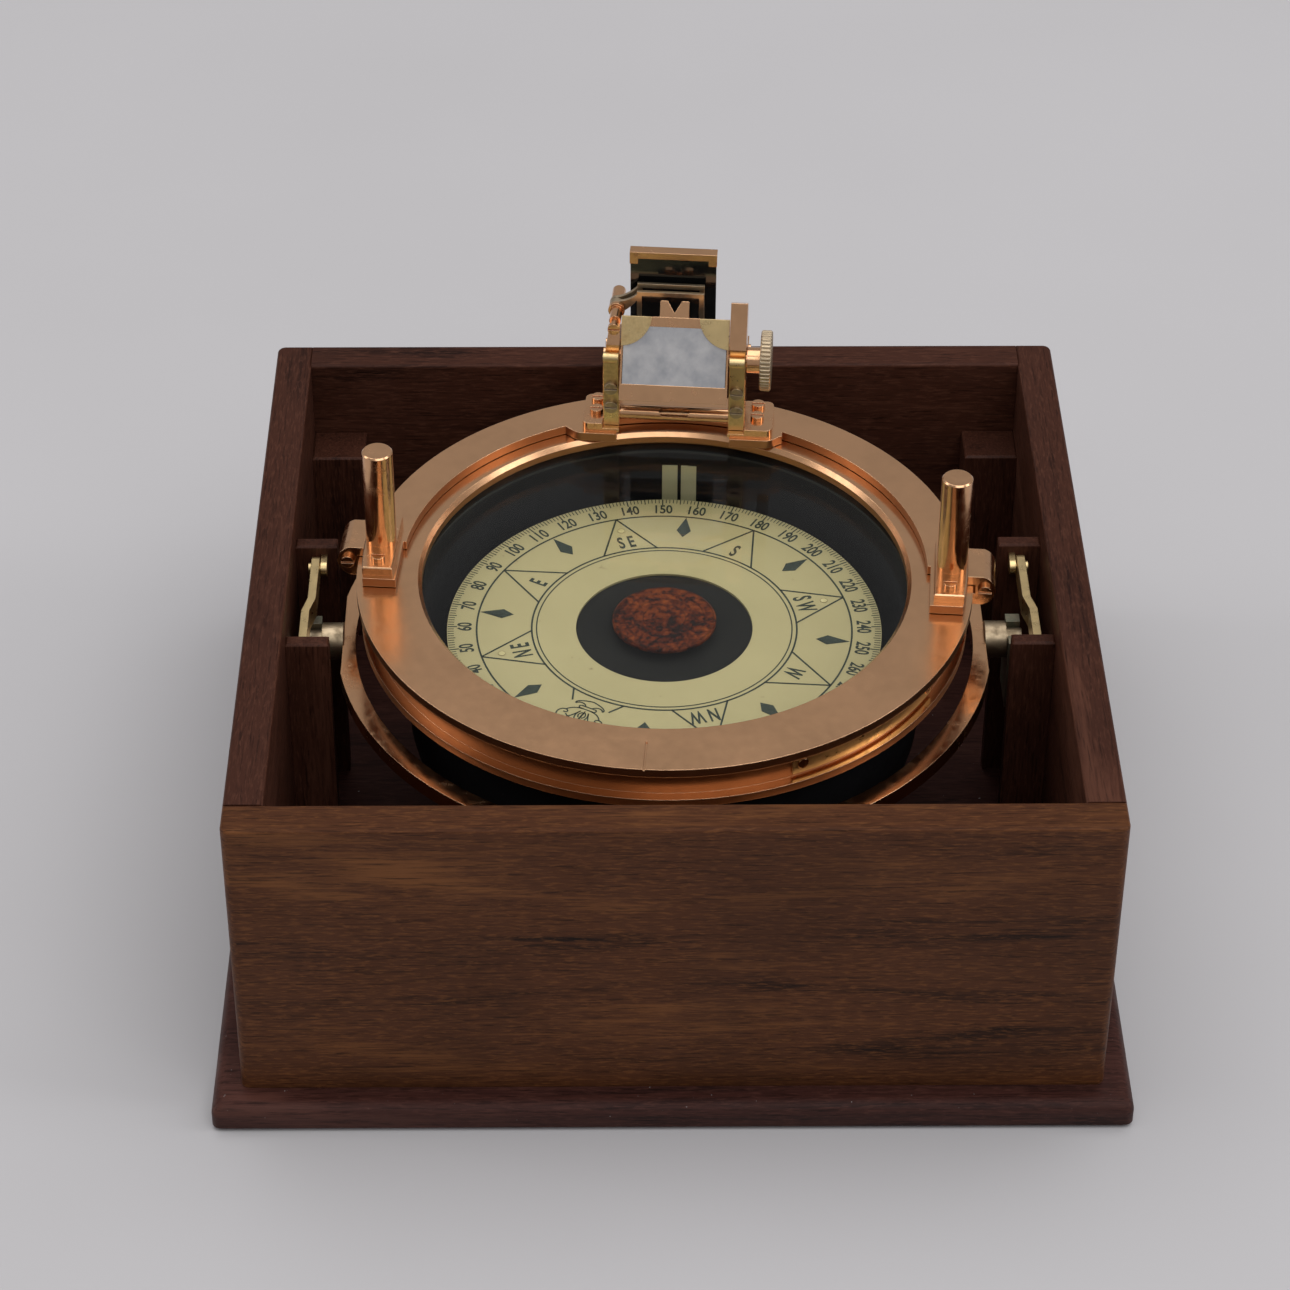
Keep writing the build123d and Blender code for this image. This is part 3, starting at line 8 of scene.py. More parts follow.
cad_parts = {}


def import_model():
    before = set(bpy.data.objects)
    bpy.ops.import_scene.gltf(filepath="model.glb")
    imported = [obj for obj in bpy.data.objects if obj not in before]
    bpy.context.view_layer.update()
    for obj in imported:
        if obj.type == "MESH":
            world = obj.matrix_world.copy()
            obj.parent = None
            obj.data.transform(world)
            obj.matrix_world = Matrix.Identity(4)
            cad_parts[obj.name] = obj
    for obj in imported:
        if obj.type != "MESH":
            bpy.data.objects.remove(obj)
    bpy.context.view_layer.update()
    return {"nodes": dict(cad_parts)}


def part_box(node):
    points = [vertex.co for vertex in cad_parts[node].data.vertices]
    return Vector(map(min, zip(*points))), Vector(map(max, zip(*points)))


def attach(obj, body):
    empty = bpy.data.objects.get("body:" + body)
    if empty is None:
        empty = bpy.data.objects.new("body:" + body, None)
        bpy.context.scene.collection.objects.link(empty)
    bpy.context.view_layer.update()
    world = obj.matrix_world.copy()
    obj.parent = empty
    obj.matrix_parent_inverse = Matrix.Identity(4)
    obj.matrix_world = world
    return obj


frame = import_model()
MM = 0.001

# The compass turns about this place across the box
CENTER_X = -1.7 * MM
UP = Vector((0, 0, 1))

# Ramps for materials: a place in the noise or the angle, and the amount or grey there
WORN_EDGE = [(0.86, 1.0), (0.985, 0.0)]
PORE_SHADE = [(0.33, 0.30), (0.47, 1.0)]
GLINTS = [(0.50, 0.0), (0.68, 0.65)]
SMOKE = [(0.50, 0.0), (0.72, 0.45)]
SCUFFS = [(0.69, 0.0), (0.78, 0.35)]
EDGE_LIGHT = [(0.35, 0.1), (0.65, 0.6)]
WAX_ROUGHNESS = [(0.3, 0.38), (0.7, 0.55)]
GLASS_SMEAR = [(0.4, 0.0), (0.8, 0.03)]
DUST = [(0.7, 0.0), (0.78, 0.8)]
TURNED_RINGS = [(0.80, 1.0), (0.98, 0.45)]
LACQUER_ROUGHNESS = [(0.3, 0.35), (0.7, 0.6)]

# Places of the dark, middle, middle and light wood colours, and where a surface counts as a top: tops get
# painted shade and less sheen
WOOD_TONES = (0.34, 0.46, 0.54, 0.66)
TOP_START = 0.6
TOP_FULL = 0.9

# Wood grain: noise cells in a metre, across the grain and along it
TONE_BANDS = (30.0, 5.0)
STREAKS = (480.0, 22.0)
PORES = (1500.0, 70.0)
SHORT_GLINTS = (1250.0, 190.0)

# Share of the first noise where two are blended
BAND_SHARE = 0.62
STAIN_SHARE = 0.55
FLECK_SHARE = 0.6

# Rounded edges, depth of the fine relief, and other marks
WOOD_EDGE = 0.45 * MM
METAL_EDGE = 0.28 * MM
WOOD_RELIEF = 0.4 * MM
METAL_RELIEF = 0.2 * MM
PAINT_RELIEF = 0.2 * MM
CAP_RELIEF = 0.3 * MM
DUST_COLOR = (0.45, 0.43, 0.42)
SCRATCHES = (900.0, 900.0, 250.0)
CAP_RINGS = 1900.0


class Nodes:
    """A small wrapper for building a material's nodes."""

    def __init__(self, name):
        self.material = bpy.data.materials.new(name)
        self.material.use_nodes = True
        self.tree = self.material.node_tree
        self.shader = self.tree.nodes["Principled BSDF"]
        self.output = self.tree.nodes["Material Output"]
        self.coords = self.add("ShaderNodeTexCoord").outputs["Object"]

    def add(self, kind, **settings):
        """A new node with its settings."""
        node = self.tree.nodes.new(kind)
        for key, value in settings.items():
            setattr(node, key, value)
        return node

    def link(self, source, target):
        self.tree.links.new(source, target)

    def scaled(self, scale, source=None):
        """Coordinates stretched by a scale for each axis."""
        node = self.add("ShaderNodeMapping")
        node.inputs["Scale"].default_value = scale
        self.link(source or self.coords, node.inputs["Vector"])
        return node.outputs["Vector"]

    def noise(self, scale=1.0, detail=4.0, rough=0.5, source=None, distortion=0.0):
        """Noise from 0 to 1, its scale in cells in a metre unless the source is scaled already."""
        node = self.add("ShaderNodeTexNoise")
        node.inputs["Scale"].default_value = scale
        node.inputs["Detail"].default_value = detail
        node.inputs["Roughness"].default_value = rough
        node.inputs["Distortion"].default_value = distortion
        self.link(source or self.coords, node.inputs["Vector"])
        return node.outputs["Fac"]

    def ramp(self, value, stops):
        """A colour ramp with places and their greys or colours."""
        node = self.add("ShaderNodeValToRGB")
        ramp = node.color_ramp
        while len(ramp.elements) < len(stops):
            ramp.elements.new(0.5)
        for element, (place, color) in zip(ramp.elements, stops):
            element.position = place
            if not isinstance(color, tuple):
                color = (color, color, color)
            element.color = (*color, 1)
        self.link(value, node.inputs["Fac"])
        return node.outputs["Color"]

    def fill(self, socket, value):
        """Puts a number or a colour in a socket, or links another node's output to it."""
        if isinstance(value, (int, float)):
            socket.default_value = value
        elif isinstance(value, tuple):
            socket.default_value = (*value, 1)
        else:
            self.link(value, socket)

    def mix(self, factor, first, second, blend="MIX"):
        node = self.add("ShaderNodeMix", data_type="RGBA", blend_type=blend)
        # A colour mix has its factor at socket 0, its colours at 6 and 7 and its result at 2
        for index, value in ((0, factor), (6, first), (7, second)):
            self.fill(node.inputs[index], value)
        return node.outputs[2]

    def math(self, operation, first, second=0.0):
        node = self.add("ShaderNodeMath", operation=operation)
        self.fill(node.inputs[0], first)
        self.fill(node.inputs[1], second)
        return node.outputs[0]

    def blend(self, first, share, second):
        """Two values added up, each by its share of the whole."""
        rest = self.math("MULTIPLY", second, 1.0 - share)
        return self.math("ADD", self.math("MULTIPLY", first, share), rest)

    def bump(self, height, strength, distance):
        """Fine relief for the shader's normal."""
        node = self.add("ShaderNodeBump")
        node.inputs["Strength"].default_value = strength
        node.inputs["Distance"].default_value = distance
        self.link(height, node.inputs["Height"])
        self.link(node.outputs["Normal"], self.shader.inputs["Normal"])
        return node

    def upward(self):
        """How much the surface faces up: 1 on a level top, 0 on a wall."""
        split = self.add("ShaderNodeSeparateXYZ")
        self.link(self.add("ShaderNodeNewGeometry").outputs["True Normal"], split.inputs[0])
        return split.outputs["Z"]

    def edges(self, radius):
        """The normal of softly rounded edges, and a mask that is white on worn edges."""
        rounded = self.add("ShaderNodeBevel", samples=4)
        rounded.inputs["Radius"].default_value = radius
        plain = self.add("ShaderNodeNewGeometry")
        facing = self.add("ShaderNodeVectorMath", operation="DOT_PRODUCT")
        self.link(rounded.outputs["Normal"], facing.inputs[0])
        self.link(plain.outputs["Normal"], facing.inputs[1])
        return rounded.outputs["Normal"], self.ramp(facing.outputs["Value"], WORN_EDGE)

    def set(self, **values):
        """Fills the shader's sockets by name, with _ in place of spaces."""
        for key, value in values.items():
            socket = self.shader.inputs[key.replace("_", " ")]
            if isinstance(value, tuple) and len(value) == 3 and socket.type == "RGBA":
                value = (*value, 1)
            if hasattr(value, "node"):
                self.link(value, socket)
            else:
                socket.default_value = value


def grain(along, cells):
    """Scales for three axes: the second number of the cells along the grain, the first across it."""
    scales = [cells[0]] * 3
    scales[along] = cells[1]
    return scales


def wood(name, along, colors, shift=0.0, gloss=0.14, dust=0.0, painted_top_shade=0.32):
    """Old waxed mahogany, grain along one axis: tone bands, streaks, pores, glints, smoke, scuffs, painted
    shade on tops.
    """
    dark, middle, light = colors
    n = Nodes(name)
    moved = n.add("ShaderNodeVectorMath", operation="ADD")
    moved.inputs[1].default_value = (shift, shift * 0.7, shift * 1.3)
    n.link(n.coords, moved.inputs[0])
    base = moved.outputs[0]
    bands = n.noise(1.0, 4, 0.55, n.scaled(grain(along, TONE_BANDS), base), 1.1)
    streaks = n.noise(1.0, 5, 0.65, n.scaled(grain(along, STREAKS), base), 0.6)
    pores = n.noise(1.0, 3, 0.6, n.scaled(grain(along, PORES), base))
    glints = n.noise(1.0, 3, 0.6, n.scaled(grain(along, SHORT_GLINTS), base), 0.4)
    smoke = n.noise(6.0, 4, 0.6, n.scaled((1.0, 1.0, 1.6), base), 0.8)

    color = n.ramp(n.blend(bands, BAND_SHARE, streaks), list(zip(WOOD_TONES, (dark, middle, middle, light))))
    color = n.mix(0.75, color, n.ramp(pores, PORE_SHADE), "MULTIPLY")
    color = n.mix(n.ramp(glints, GLINTS), color, light)
    color = n.mix(n.ramp(smoke, SMOKE), color, dark)
    color = n.mix(n.ramp(n.noise(240.0, 4, 0.7, base), SCUFFS), color, light)
    if dust:
        color = n.mix(n.ramp(n.noise(700, 2, 0.5, base), [(0.76, 0.0), (0.80, dust)]), color, DUST_COLOR)
    # Painted shade: wood that faces up is darkened towards its dark tone
    color = n.mix(n.ramp(n.upward(), [(TOP_START, 0.0), (TOP_FULL, painted_top_shade)]), color, dark)
    rounded, worn = n.edges(WOOD_EDGE)
    color = n.mix(n.math("MULTIPLY", worn, n.ramp(smoke, EDGE_LIGHT)), color, light)

    n.set(Base_Color=color, Roughness=n.ramp(n.noise(60, 4, 0.6, base), WAX_ROUGHNESS))
    n.set(Specular_IOR_Level=n.ramp(n.upward(), [(TOP_START, gloss), (TOP_FULL, 0.4 * gloss)]))
    relief = n.bump(n.math("ADD", pores, n.math("MULTIPLY", streaks, 0.6)), 0.12, WOOD_RELIEF)
    n.link(rounded, relief.inputs["Normal"])
    return n.material


def metal(name, colors, rough=(0.18, 0.34), stain_amount=0.5, bump=0.04, painted_wall_shade=0.0):
    """Worn brass or bronze: tone patches, stains, fine scratches, bright edges and any painted shade on
    walls.
    """
    base, stain = colors
    n = Nodes(name)
    patches = n.noise(38.0, 5, 0.6)
    spots = n.noise(260.0, 4, 0.65)
    tone = n.ramp(patches, [(0.3, tuple(c * 0.86 for c in base)), (0.7, base)])
    stains_and_wall_shade = n.ramp(n.blend(patches, STAIN_SHARE, spots), [(0.52, 0.0), (0.66, stain_amount)])
    # Painted shade: walls and faces that don't look up get the stain colour
    if painted_wall_shade:
        stains_and_wall_shade = n.math("MAXIMUM", stains_and_wall_shade, n.ramp(n.upward(), [(0.4, painted_wall_shade), (0.8, 0.0)]))
    color = n.mix(stains_and_wall_shade, tone, stain)
    rounded, worn = n.edges(METAL_EDGE)
    bright = tuple(min(0.95, 1.12 * c + 0.08) for c in base)
    n.set(Metallic=1.0, Base_Color=n.mix(n.math("MULTIPLY", worn, 0.75), color, bright))

    roughness = n.ramp(spots, [(0.35, rough[0]), (0.7, rough[1])])
    n.set(Roughness=n.math("ADD", roughness, n.math("MULTIPLY", stains_and_wall_shade, 0.2)))
    scratch = n.noise(1.0, 3, 0.6, n.scaled(SCRATCHES))
    relief = n.bump(n.math("ADD", scratch, n.math("MULTIPLY", spots, 0.5)), bump, METAL_RELIEF)
    n.link(rounded, relief.inputs["Normal"])
    return n.material


def clear_glass(name, tint, gloss):
    """Clear glass that lets light and shadows through without bending them."""
    n = Nodes(name)
    smear = n.noise(30.0, 4, 0.6)
    n.set(Base_Color=n.ramp(smear, [(0.3, tint), (0.7, tuple(min(1.0, c * 1.03) for c in tint))]))
    n.set(Roughness=0.0, IOR=1.01, Transmission_Weight=1.0, Coat_Weight=gloss, Coat_IOR=1.5)
    n.set(Coat_Roughness=n.ramp(smear, GLASS_SMEAR))
    clear = n.add("ShaderNodeBsdfTransparent")
    clear.inputs["Color"].default_value = (*tint, 1)
    swap = n.add("ShaderNodeMixShader")
    path = n.add("ShaderNodeLightPath")
    n.link(n.math("MAXIMUM", path.outputs["Is Shadow Ray"], path.outputs["Is Diffuse Ray"]), swap.inputs[0])
    n.link(n.shader.outputs[0], swap.inputs[1])
    n.link(clear.outputs[0], swap.inputs[2])
    n.link(swap.outputs[0], n.output.inputs["Surface"])
    return n.material


def painted(name, colors, scale, rough, metallic=0.0, bump=0.05, specks=None, gloss=0.5):
    """Paint or a plain surface with soft tone changes and specks of dust."""
    n = Nodes(name)
    color = n.ramp(n.noise(scale, 5, 0.6), [(0.3, colors[0]), (0.7, colors[1])])
    fine = n.noise(scale * 12, 3, 0.6)
    if specks:
        color = n.mix(n.ramp(fine, DUST), color, specks)
    roughness = n.ramp(fine, [(0.3, rough - 0.06), (0.7, rough + 0.06)])
    n.set(Base_Color=color, Metallic=metallic, Roughness=roughness, Specular_IOR_Level=gloss)
    n.bump(fine, bump, PAINT_RELIEF)
    return n.material


def mottled_cap():
    """Red-brown lacquer, mottled in dark flecks, with plain turned rings."""
    n = Nodes("mottled_red_cap")
    flecks = n.noise(420.0, 5, 0.7)
    clouds = n.noise(110.0, 4, 0.6)
    color = n.ramp(n.blend(flecks, FLECK_SHARE, clouds), list(zip((0.44, 0.51, 0.62), LACQUER)))
    from_middle = n.add("ShaderNodeVectorMath", operation="DISTANCE")
    n.link(n.coords, from_middle.inputs[0])
    from_middle.inputs[1].default_value = (CENTER_X, 0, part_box("float_cap")[1][2])
    waves = n.math("SINE", n.math("MULTIPLY", from_middle.outputs["Value"], CAP_RINGS))
    color = n.mix(0.8, color, n.ramp(waves, TURNED_RINGS), "MULTIPLY")
    n.set(Base_Color=color, Roughness=n.ramp(flecks, LACQUER_ROUGHNESS), Specular_IOR_Level=0.06)
    n.bump(n.math("ADD", flecks, waves), 0.10, CAP_RELIEF)
    return n.material


# Colours of the woods, dark to light
MAHOGANY = ((0.0150, 0.0060, 0.0034), (0.082, 0.0285, 0.0115), (0.175, 0.066, 0.022))
PLINTH = ((0.012, 0.0056, 0.0052), (0.046, 0.0165, 0.0128), (0.080, 0.031, 0.023))
REDDISH = ((0.014, 0.0050, 0.0034), (0.058, 0.0200, 0.0118), (0.110, 0.042, 0.025))

# Colours of the metals and their stains; the bronze stain colour is also the painted shade on its walls
BRONZE = ((0.78, 0.45, 0.245), (0.34, 0.15, 0.07))
YELLOW_BRASS = ((0.72, 0.54, 0.27), (0.22, 0.13, 0.05))
DULL_BRASS = ((0.46, 0.36, 0.24), (0.12, 0.09, 0.05))
GREEN_BRONZE = ((0.30, 0.27, 0.20), (0.16, 0.20, 0.15))
STEEL = ((0.55, 0.54, 0.52), (0.2, 0.18, 0.15))

# Tones of the paints and plain surfaces
LACQUER = ((0.006, 0.002, 0.0015), (0.075, 0.012, 0.003), (0.19, 0.046, 0.009))
ENAMEL = ((0.008, 0.008, 0.009), (0.015, 0.015, 0.017))
FLOAT_ENAMEL = ((0.007, 0.007, 0.007), (0.012, 0.012, 0.011))
CREAM = ((0.385, 0.325, 0.165), (0.435, 0.37, 0.195))
PALE_PAINT = ((0.50, 0.46, 0.27), (0.62, 0.57, 0.36))
INK = ((0.018, 0.026, 0.022), (0.034, 0.044, 0.036))
LUMINOUS = ((0.50, 0.42, 0.20), (0.62, 0.54, 0.30))
LUMINOUS_RIM = ((0.20, 0.15, 0.06), (0.28, 0.21, 0.09))
RUBBER = ((0.015, 0.015, 0.015), (0.025, 0.024, 0.022))
SHADE_GLASS = ((0.004, 0.004, 0.005), (0.008, 0.007, 0.006))
MIRROR_GLASS = ((0.003, 0.003, 0.003), (0.006, 0.006, 0.006))
# Painted reflection: the prism's glass face is painted grey for the pale backdrop it reflects
PRISM_REFLECTION_GREYS = ((0.44, 0.45, 0.48), (0.74, 0.73, 0.73))

# Specks on them, and the tint of clear glass
ENAMEL_DUST = (0.06, 0.06, 0.06)
FLOAT_DUST = (0.08, 0.08, 0.07)
CARD_SPOTS = (0.20, 0.15, 0.07)
PAINT_SPOTS = (0.15, 0.12, 0.05)
PRISM_SPOTS = (0.30, 0.30, 0.32)
GLASS_TINT = (0.95, 0.96, 0.93)

front_wood = wood("front_mahogany", 0, MAHOGANY)
cross_wood = wood("cross_mahogany", 0, REDDISH, 0.4)
side_wood = wood("side_mahogany", 1, REDDISH, 0.9)
post_wood = wood("post_mahogany", 2, REDDISH, 1.7)
plinth_wood = wood("plinth_mahogany", 0, PLINTH, 2.6, gloss=0.18, dust=0.7, painted_top_shade=0.0)

bronze = metal("polished_bronze", BRONZE, (0.13, 0.26), 0.40)
# Flat bronze has painted shade, in its stain colour, on the walls of the verge and half rings
flat_bronze = metal("flat_bronze", BRONZE, (0.17, 0.23), 0.10, bump=0.02, painted_wall_shade=0.85)
brass = metal("yellow_brass", YELLOW_BRASS, (0.26, 0.42), 0.5)
knob_brass = metal("dull_brass", DULL_BRASS, (0.34, 0.5), 0.6)
grey_bronze = metal("corroded_bronze", GREEN_BRONZE, (0.45, 0.65), 0.8, bump=0.12)
steel = metal("steel", STEEL, (0.3, 0.45), 0.3)

glass = clear_glass("cover_glass_clear", GLASS_TINT, 0.32)
black = painted("black_enamel", ENAMEL, 40.0, 0.6, bump=0.01, specks=ENAMEL_DUST, gloss=0.15)
float_black = painted("float_enamel", FLOAT_ENAMEL, 30.0, 0.62, bump=0.01, specks=FLOAT_DUST, gloss=0.06)
card_face = painted("card_cream", CREAM, 16.0, 0.55, bump=0.02, specks=CARD_SPOTS)
pale_paint = painted("pale_lubber_paint", PALE_PAINT, 60.0, 0.55, specks=PAINT_SPOTS)
ink = painted("card_ink", INK, 120.0, 0.7, gloss=0.2)
dot_paint = painted("luminous_paint", LUMINOUS, 500.0, 0.5)
rim_paint = painted("luminous_rim_paint", LUMINOUS_RIM, 300.0, 0.6)
rubber = painted("gasket_rubber", RUBBER, 80.0, 0.8)
dark_glass = painted("dark_shade_glass", SHADE_GLASS, 30.0, 0.10)
black_mirror = painted("black_mirror_glass", MIRROR_GLASS, 30.0, 0.08)
cap_paint = mottled_cap()
# The prism face is painted grey and partly metallic, a painted reflection of the backdrop; its specks are
# dirt
prism_painted_reflection = painted("prism_face_glass", PRISM_REFLECTION_GREYS, 110.0, 0.16, metallic=0.7, specks=PRISM_SPOTS)

# Each material and the nodes of the frame that have it
LOOKS = (
    (plinth_wood, ("plinth",)),
    (front_wood, ("front_board",)),
    (cross_wood, ("back_board",)),
    (side_wood, ("left_board", "right_board")),
    (post_wood, ("corner_posts", "cheek_boards")),
    (grey_bronze, ("left_bearing", "right_bearing", "bearing_screws")),
    (brass, (
        "latch_ears", "latch_pins", "left_latch", "right_latch", "collar_plate", "straps",
        "corner_clips",
    )),
    (bronze, (
        "gimbal_ring", "bowl_pivot_screws", "flange_screws", "plate_screws", "handle_blocks",
        "handle_posts", "guide_lugs", "left_bracket", "right_bracket", "circle_screws", "level_tube",
        "shade_pin", "mirror_pin", "prism_carrier", "notch_vane", "tilt_shafts", "mirror_frame",
    )),
    (knob_brass, (
        "trunnions", "filler_plug", "strap_screws", "tilt_knob", "front_shade", "rear_shade",
    )),
    (black, ("bowl_shell", "base_weight", "balance_weight", "pivot_column")),
    (flat_bronze, ("verge_ring", "half_ring")),
    (glass, ("cover_glass", "level_vial")),
    (rubber, ("glass_gasket",)),
    (pale_paint, ("lubber_marks",)),
    (card_face, ("card",)),
    (float_black, ("float",)),
    (steel, ("jewel_cup", "magnets")),
    (cap_paint, ("float_cap",)),
    (prism_painted_reflection, ("prism",)),
    (dark_glass, ("front_shade_glass", "rear_shade_glass")),
    (black_mirror, ("rear_mirror",)),
)
for look, node_names in LOOKS:
    for node_name in node_names:
        node_mesh = frame["nodes"][node_name].data
        node_mesh.materials.clear()
        node_mesh.materials.append(look)


# Card print: heights, then radii and sizes
CARD_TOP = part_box("card")[1][2]
PRINT_LIFT = 0.06 * MM
PRINT_THICKNESS = 0.05 * MM
NORTH_ANGLE = math.radians(239.7)
SCALE_CIRCLE = 65.8 * MM
DOUBLE_OUTER = 46.5 * MM
DOUBLE_INNER = 44.8 * MM
TICK_OUTER = 76.0 * MM
TICK_LENGTHS = {1: 2.2 * MM, 5: 2.7 * MM, 10: 3.3 * MM}
TICK_WIDTHS = {1: 0.30 * MM, 5: 0.36 * MM, 10: 0.46 * MM}
LINE = 0.64 * MM
THIN_RING = 0.70
THIN_STROKE = 0.72

# Numbers and letters: radius, size, width for the size, and how far the strokes are thickened
NUMBER_RADIUS = 69.8 * MM
NUMBER_SIZE = 6.9 * MM
NUMBER_SQUEEZE = 0.69
NUMBER_BOLD = 0.14 * MM
LETTER_RADIUS = 51.2 * MM
LETTER_SIZE = 9.2 * MM
LETTER_SQUEEZE = 0.54
LETTER_BOLD = 0.22 * MM
POINTS = ("", "N E", "E", "S E", "S", "S W", "W", "N W")
POINT_STEP = 45.0

# Triangles at the eight points, kites between them, and dots in the four quarter points' triangles
TRIANGLE_HALF = 12.3
NORTH_LINE_START = 0.72
KITE = (65.3 * MM, 57.4 * MM, 53.4 * MM)
KITE_HALF = 2.6
DOT_RADIUS = 58.6 * MM
DOT_SIZE = 1.25 * MM
DOT_RIM = 0.22 * MM
DOT_SIDES = 24
QUARTER_POINTS = (45.0, 135.0, 225.0, 315.0)

# The north flower's petals and band, as cubic curves: distance out and sideways, in millimetres
FLOWER = (
    ((64.5, 0.0), (60.5, 0.6), (58.5, 3.4), (55.0, 1.5)),
    ((55.0, 1.5), (57.5, 2.6), (62.0, 4.4), (61.0, 7.6)),
    ((61.0, 7.6), (59.5, 9.6), (56.0, 8.4), (56.6, 6.0)),
    ((56.6, 6.0), (57.2, 4.8), (58.6, 5.6), (57.9, 6.7)),
    ((56.4, 6.4), (54.4, 5.2), (53.8, 3.4), (53.6, 1.6)),
    ((53.6, 0.0), (53.6, 1.0), (53.6, 2.0), (53.6, 2.8)),
    ((52.2, 0.0), (52.2, 1.0), (52.2, 2.0), (52.2, 2.8)),
    ((53.6, 2.8), (53.3, 3.4), (52.5, 3.4), (52.2, 2.8)),
    ((52.2, 1.2), (50.6, 2.0), (50.4, 4.6), (52.0, 5.2)),
    ((52.0, 5.2), (51.2, 6.2), (49.6, 4.6), (48.8, 0.0)),
    ((63.0, 0.0), (60.0, 0.1), (57.0, 0.1), (54.6, 0.0)),
    ((59.8, 1.4), (60.2, 3.4), (59.4, 4.8), (58.6, 5.4)),
    ((58.4, 0.6), (57.4, 1.6), (56.4, 1.4), (55.4, 0.4)),
)


def card_point(heading, radius):
    """A point of the card at a compass heading and a distance from its middle."""
    angle = NORTH_ANGLE - math.radians(heading)
    return Vector((CENTER_X + radius * math.cos(angle), radius * math.sin(angle), CARD_TOP + PRINT_LIFT))


def outward(heading):
    """The direction out from the card's middle at a heading."""
    return card_point(heading, 1.0) - card_point(heading, 0.0)


def make_piece(name, shape, look):
    """A piece of print, made from a bmesh, that turns with the card."""
    mesh = bpy.data.meshes.new(name)
    shape.to_mesh(mesh)
    shape.free()
    mesh.materials.append(look)
    piece = bpy.data.objects.new(name, mesh)
    bpy.context.scene.collection.objects.link(piece)
    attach(piece, "compass_card")


def flat_polygon(shape, points):
    """A thin slab with the outline of the points, added to a bmesh."""
    top = [shape.verts.new(p + UP * PRINT_THICKNESS) for p in points]
    low = [shape.verts.new(p) for p in points]
    shape.faces.new(top)
    shape.faces.new(list(reversed(low)))
    for i in range(len(points)):
        j = (i + 1) % len(points)
        shape.faces.new((top[i], low[i], low[j], top[j]))


def flat_line(shape, start, end, width):
    """A straight printed line."""
    side = (end - start).cross(UP).normalized() * (width / 2)
    flat_polygon(shape, [start + side, start - side, end - side, end + side])


def flat_ring(shape, radius, width, steps=180):
    """A printed circle around the card's middle."""
    for i in range(steps):
        first = 360.0 * i / steps
        last = 360.0 * (i + 1) / steps
        flat_polygon(shape, [
            card_point(first, radius - width / 2), card_point(first, radius + width / 2),
            card_point(last, radius + width / 2), card_point(last, radius - width / 2),
        ])


def text_mesh(words, size, place, direction, squeeze, bold):
    """Letters as a flat mesh centred on a place, their tops towards a direction."""
    curve = bpy.data.curves.new("words", "FONT")
    curve.body = words
    curve.size = size
    curve.align_x = "CENTER"
    curve.align_y = "CENTER"
    curve.extrude = PRINT_THICKNESS / 2
    curve.offset = bold
    holder = bpy.data.objects.new("words", curve)
    bpy.context.scene.collection.objects.link(holder)
    bpy.context.view_layer.update()
    mesh = bpy.data.meshes.new_from_object(holder.evaluated_get(bpy.context.evaluated_depsgraph_get()))
    bpy.data.objects.remove(holder)
    bpy.data.curves.remove(curve)
    top = direction.normalized()
    right = top.cross(UP)
    turn = Matrix.Translation(place) @ Matrix((right, top, UP)).transposed().to_4x4()
    mesh.transform(turn @ Matrix.Diagonal((squeeze, 1, 1, 1)))
    return mesh


def arc_point(heading, along, sideways):
    """A point of the card, out along a heading and then sideways from it."""
    return card_point(heading, along) + outward(heading).normalized().cross(UP) * sideways


def curve_line(shape, heading, corners, width, steps=10):
    """A drawn line through a cubic curve's four corners, and its mirror image."""
    for side in (-1, 1):
        spots = []
        for step in range(steps + 1):
            t = step / steps
            weights = ((1 - t) ** 3, 3 * t * (1 - t) ** 2, 3 * t * t * (1 - t), t ** 3)
            along = sum(w * c[0] for w, c in zip(weights, corners))
            across = sum(w * c[1] for w, c in zip(weights, corners))
            spots.append(arc_point(heading, along * MM, side * across * MM))
        for first, last in zip(spots, spots[1:]):
            flat_line(shape, first, last, width)


def degree_scale(shape):
    """A tick at each degree, longer at the fives and longest at the tens."""
    for degree in range(360):
        kind = 10 if degree % 10 == 0 else 5 if degree % 5 == 0 else 1
        low = TICK_OUTER - TICK_LENGTHS[kind]
        flat_line(shape, card_point(degree, TICK_OUTER), card_point(degree, low), TICK_WIDTHS[kind])


def point_marks(shape, heading):
    """The triangle at one of the eight points, cut short for the flower at north, and the kite after it."""
    apex = card_point(heading, SCALE_CIRCLE)
    for side in (-1, 1):
        corner = card_point(heading + side * TRIANGLE_HALF, DOUBLE_OUTER)
        start = apex.lerp(corner, NORTH_LINE_START) if heading == 0 else apex
        flat_line(shape, start, corner, LINE)
    kite = heading + POINT_STEP / 2
    flat_polygon(shape, [
        card_point(kite, KITE[0]), card_point(kite - KITE_HALF, KITE[1]),
        card_point(kite, KITE[2]), card_point(kite + KITE_HALF, KITE[1]),
    ])


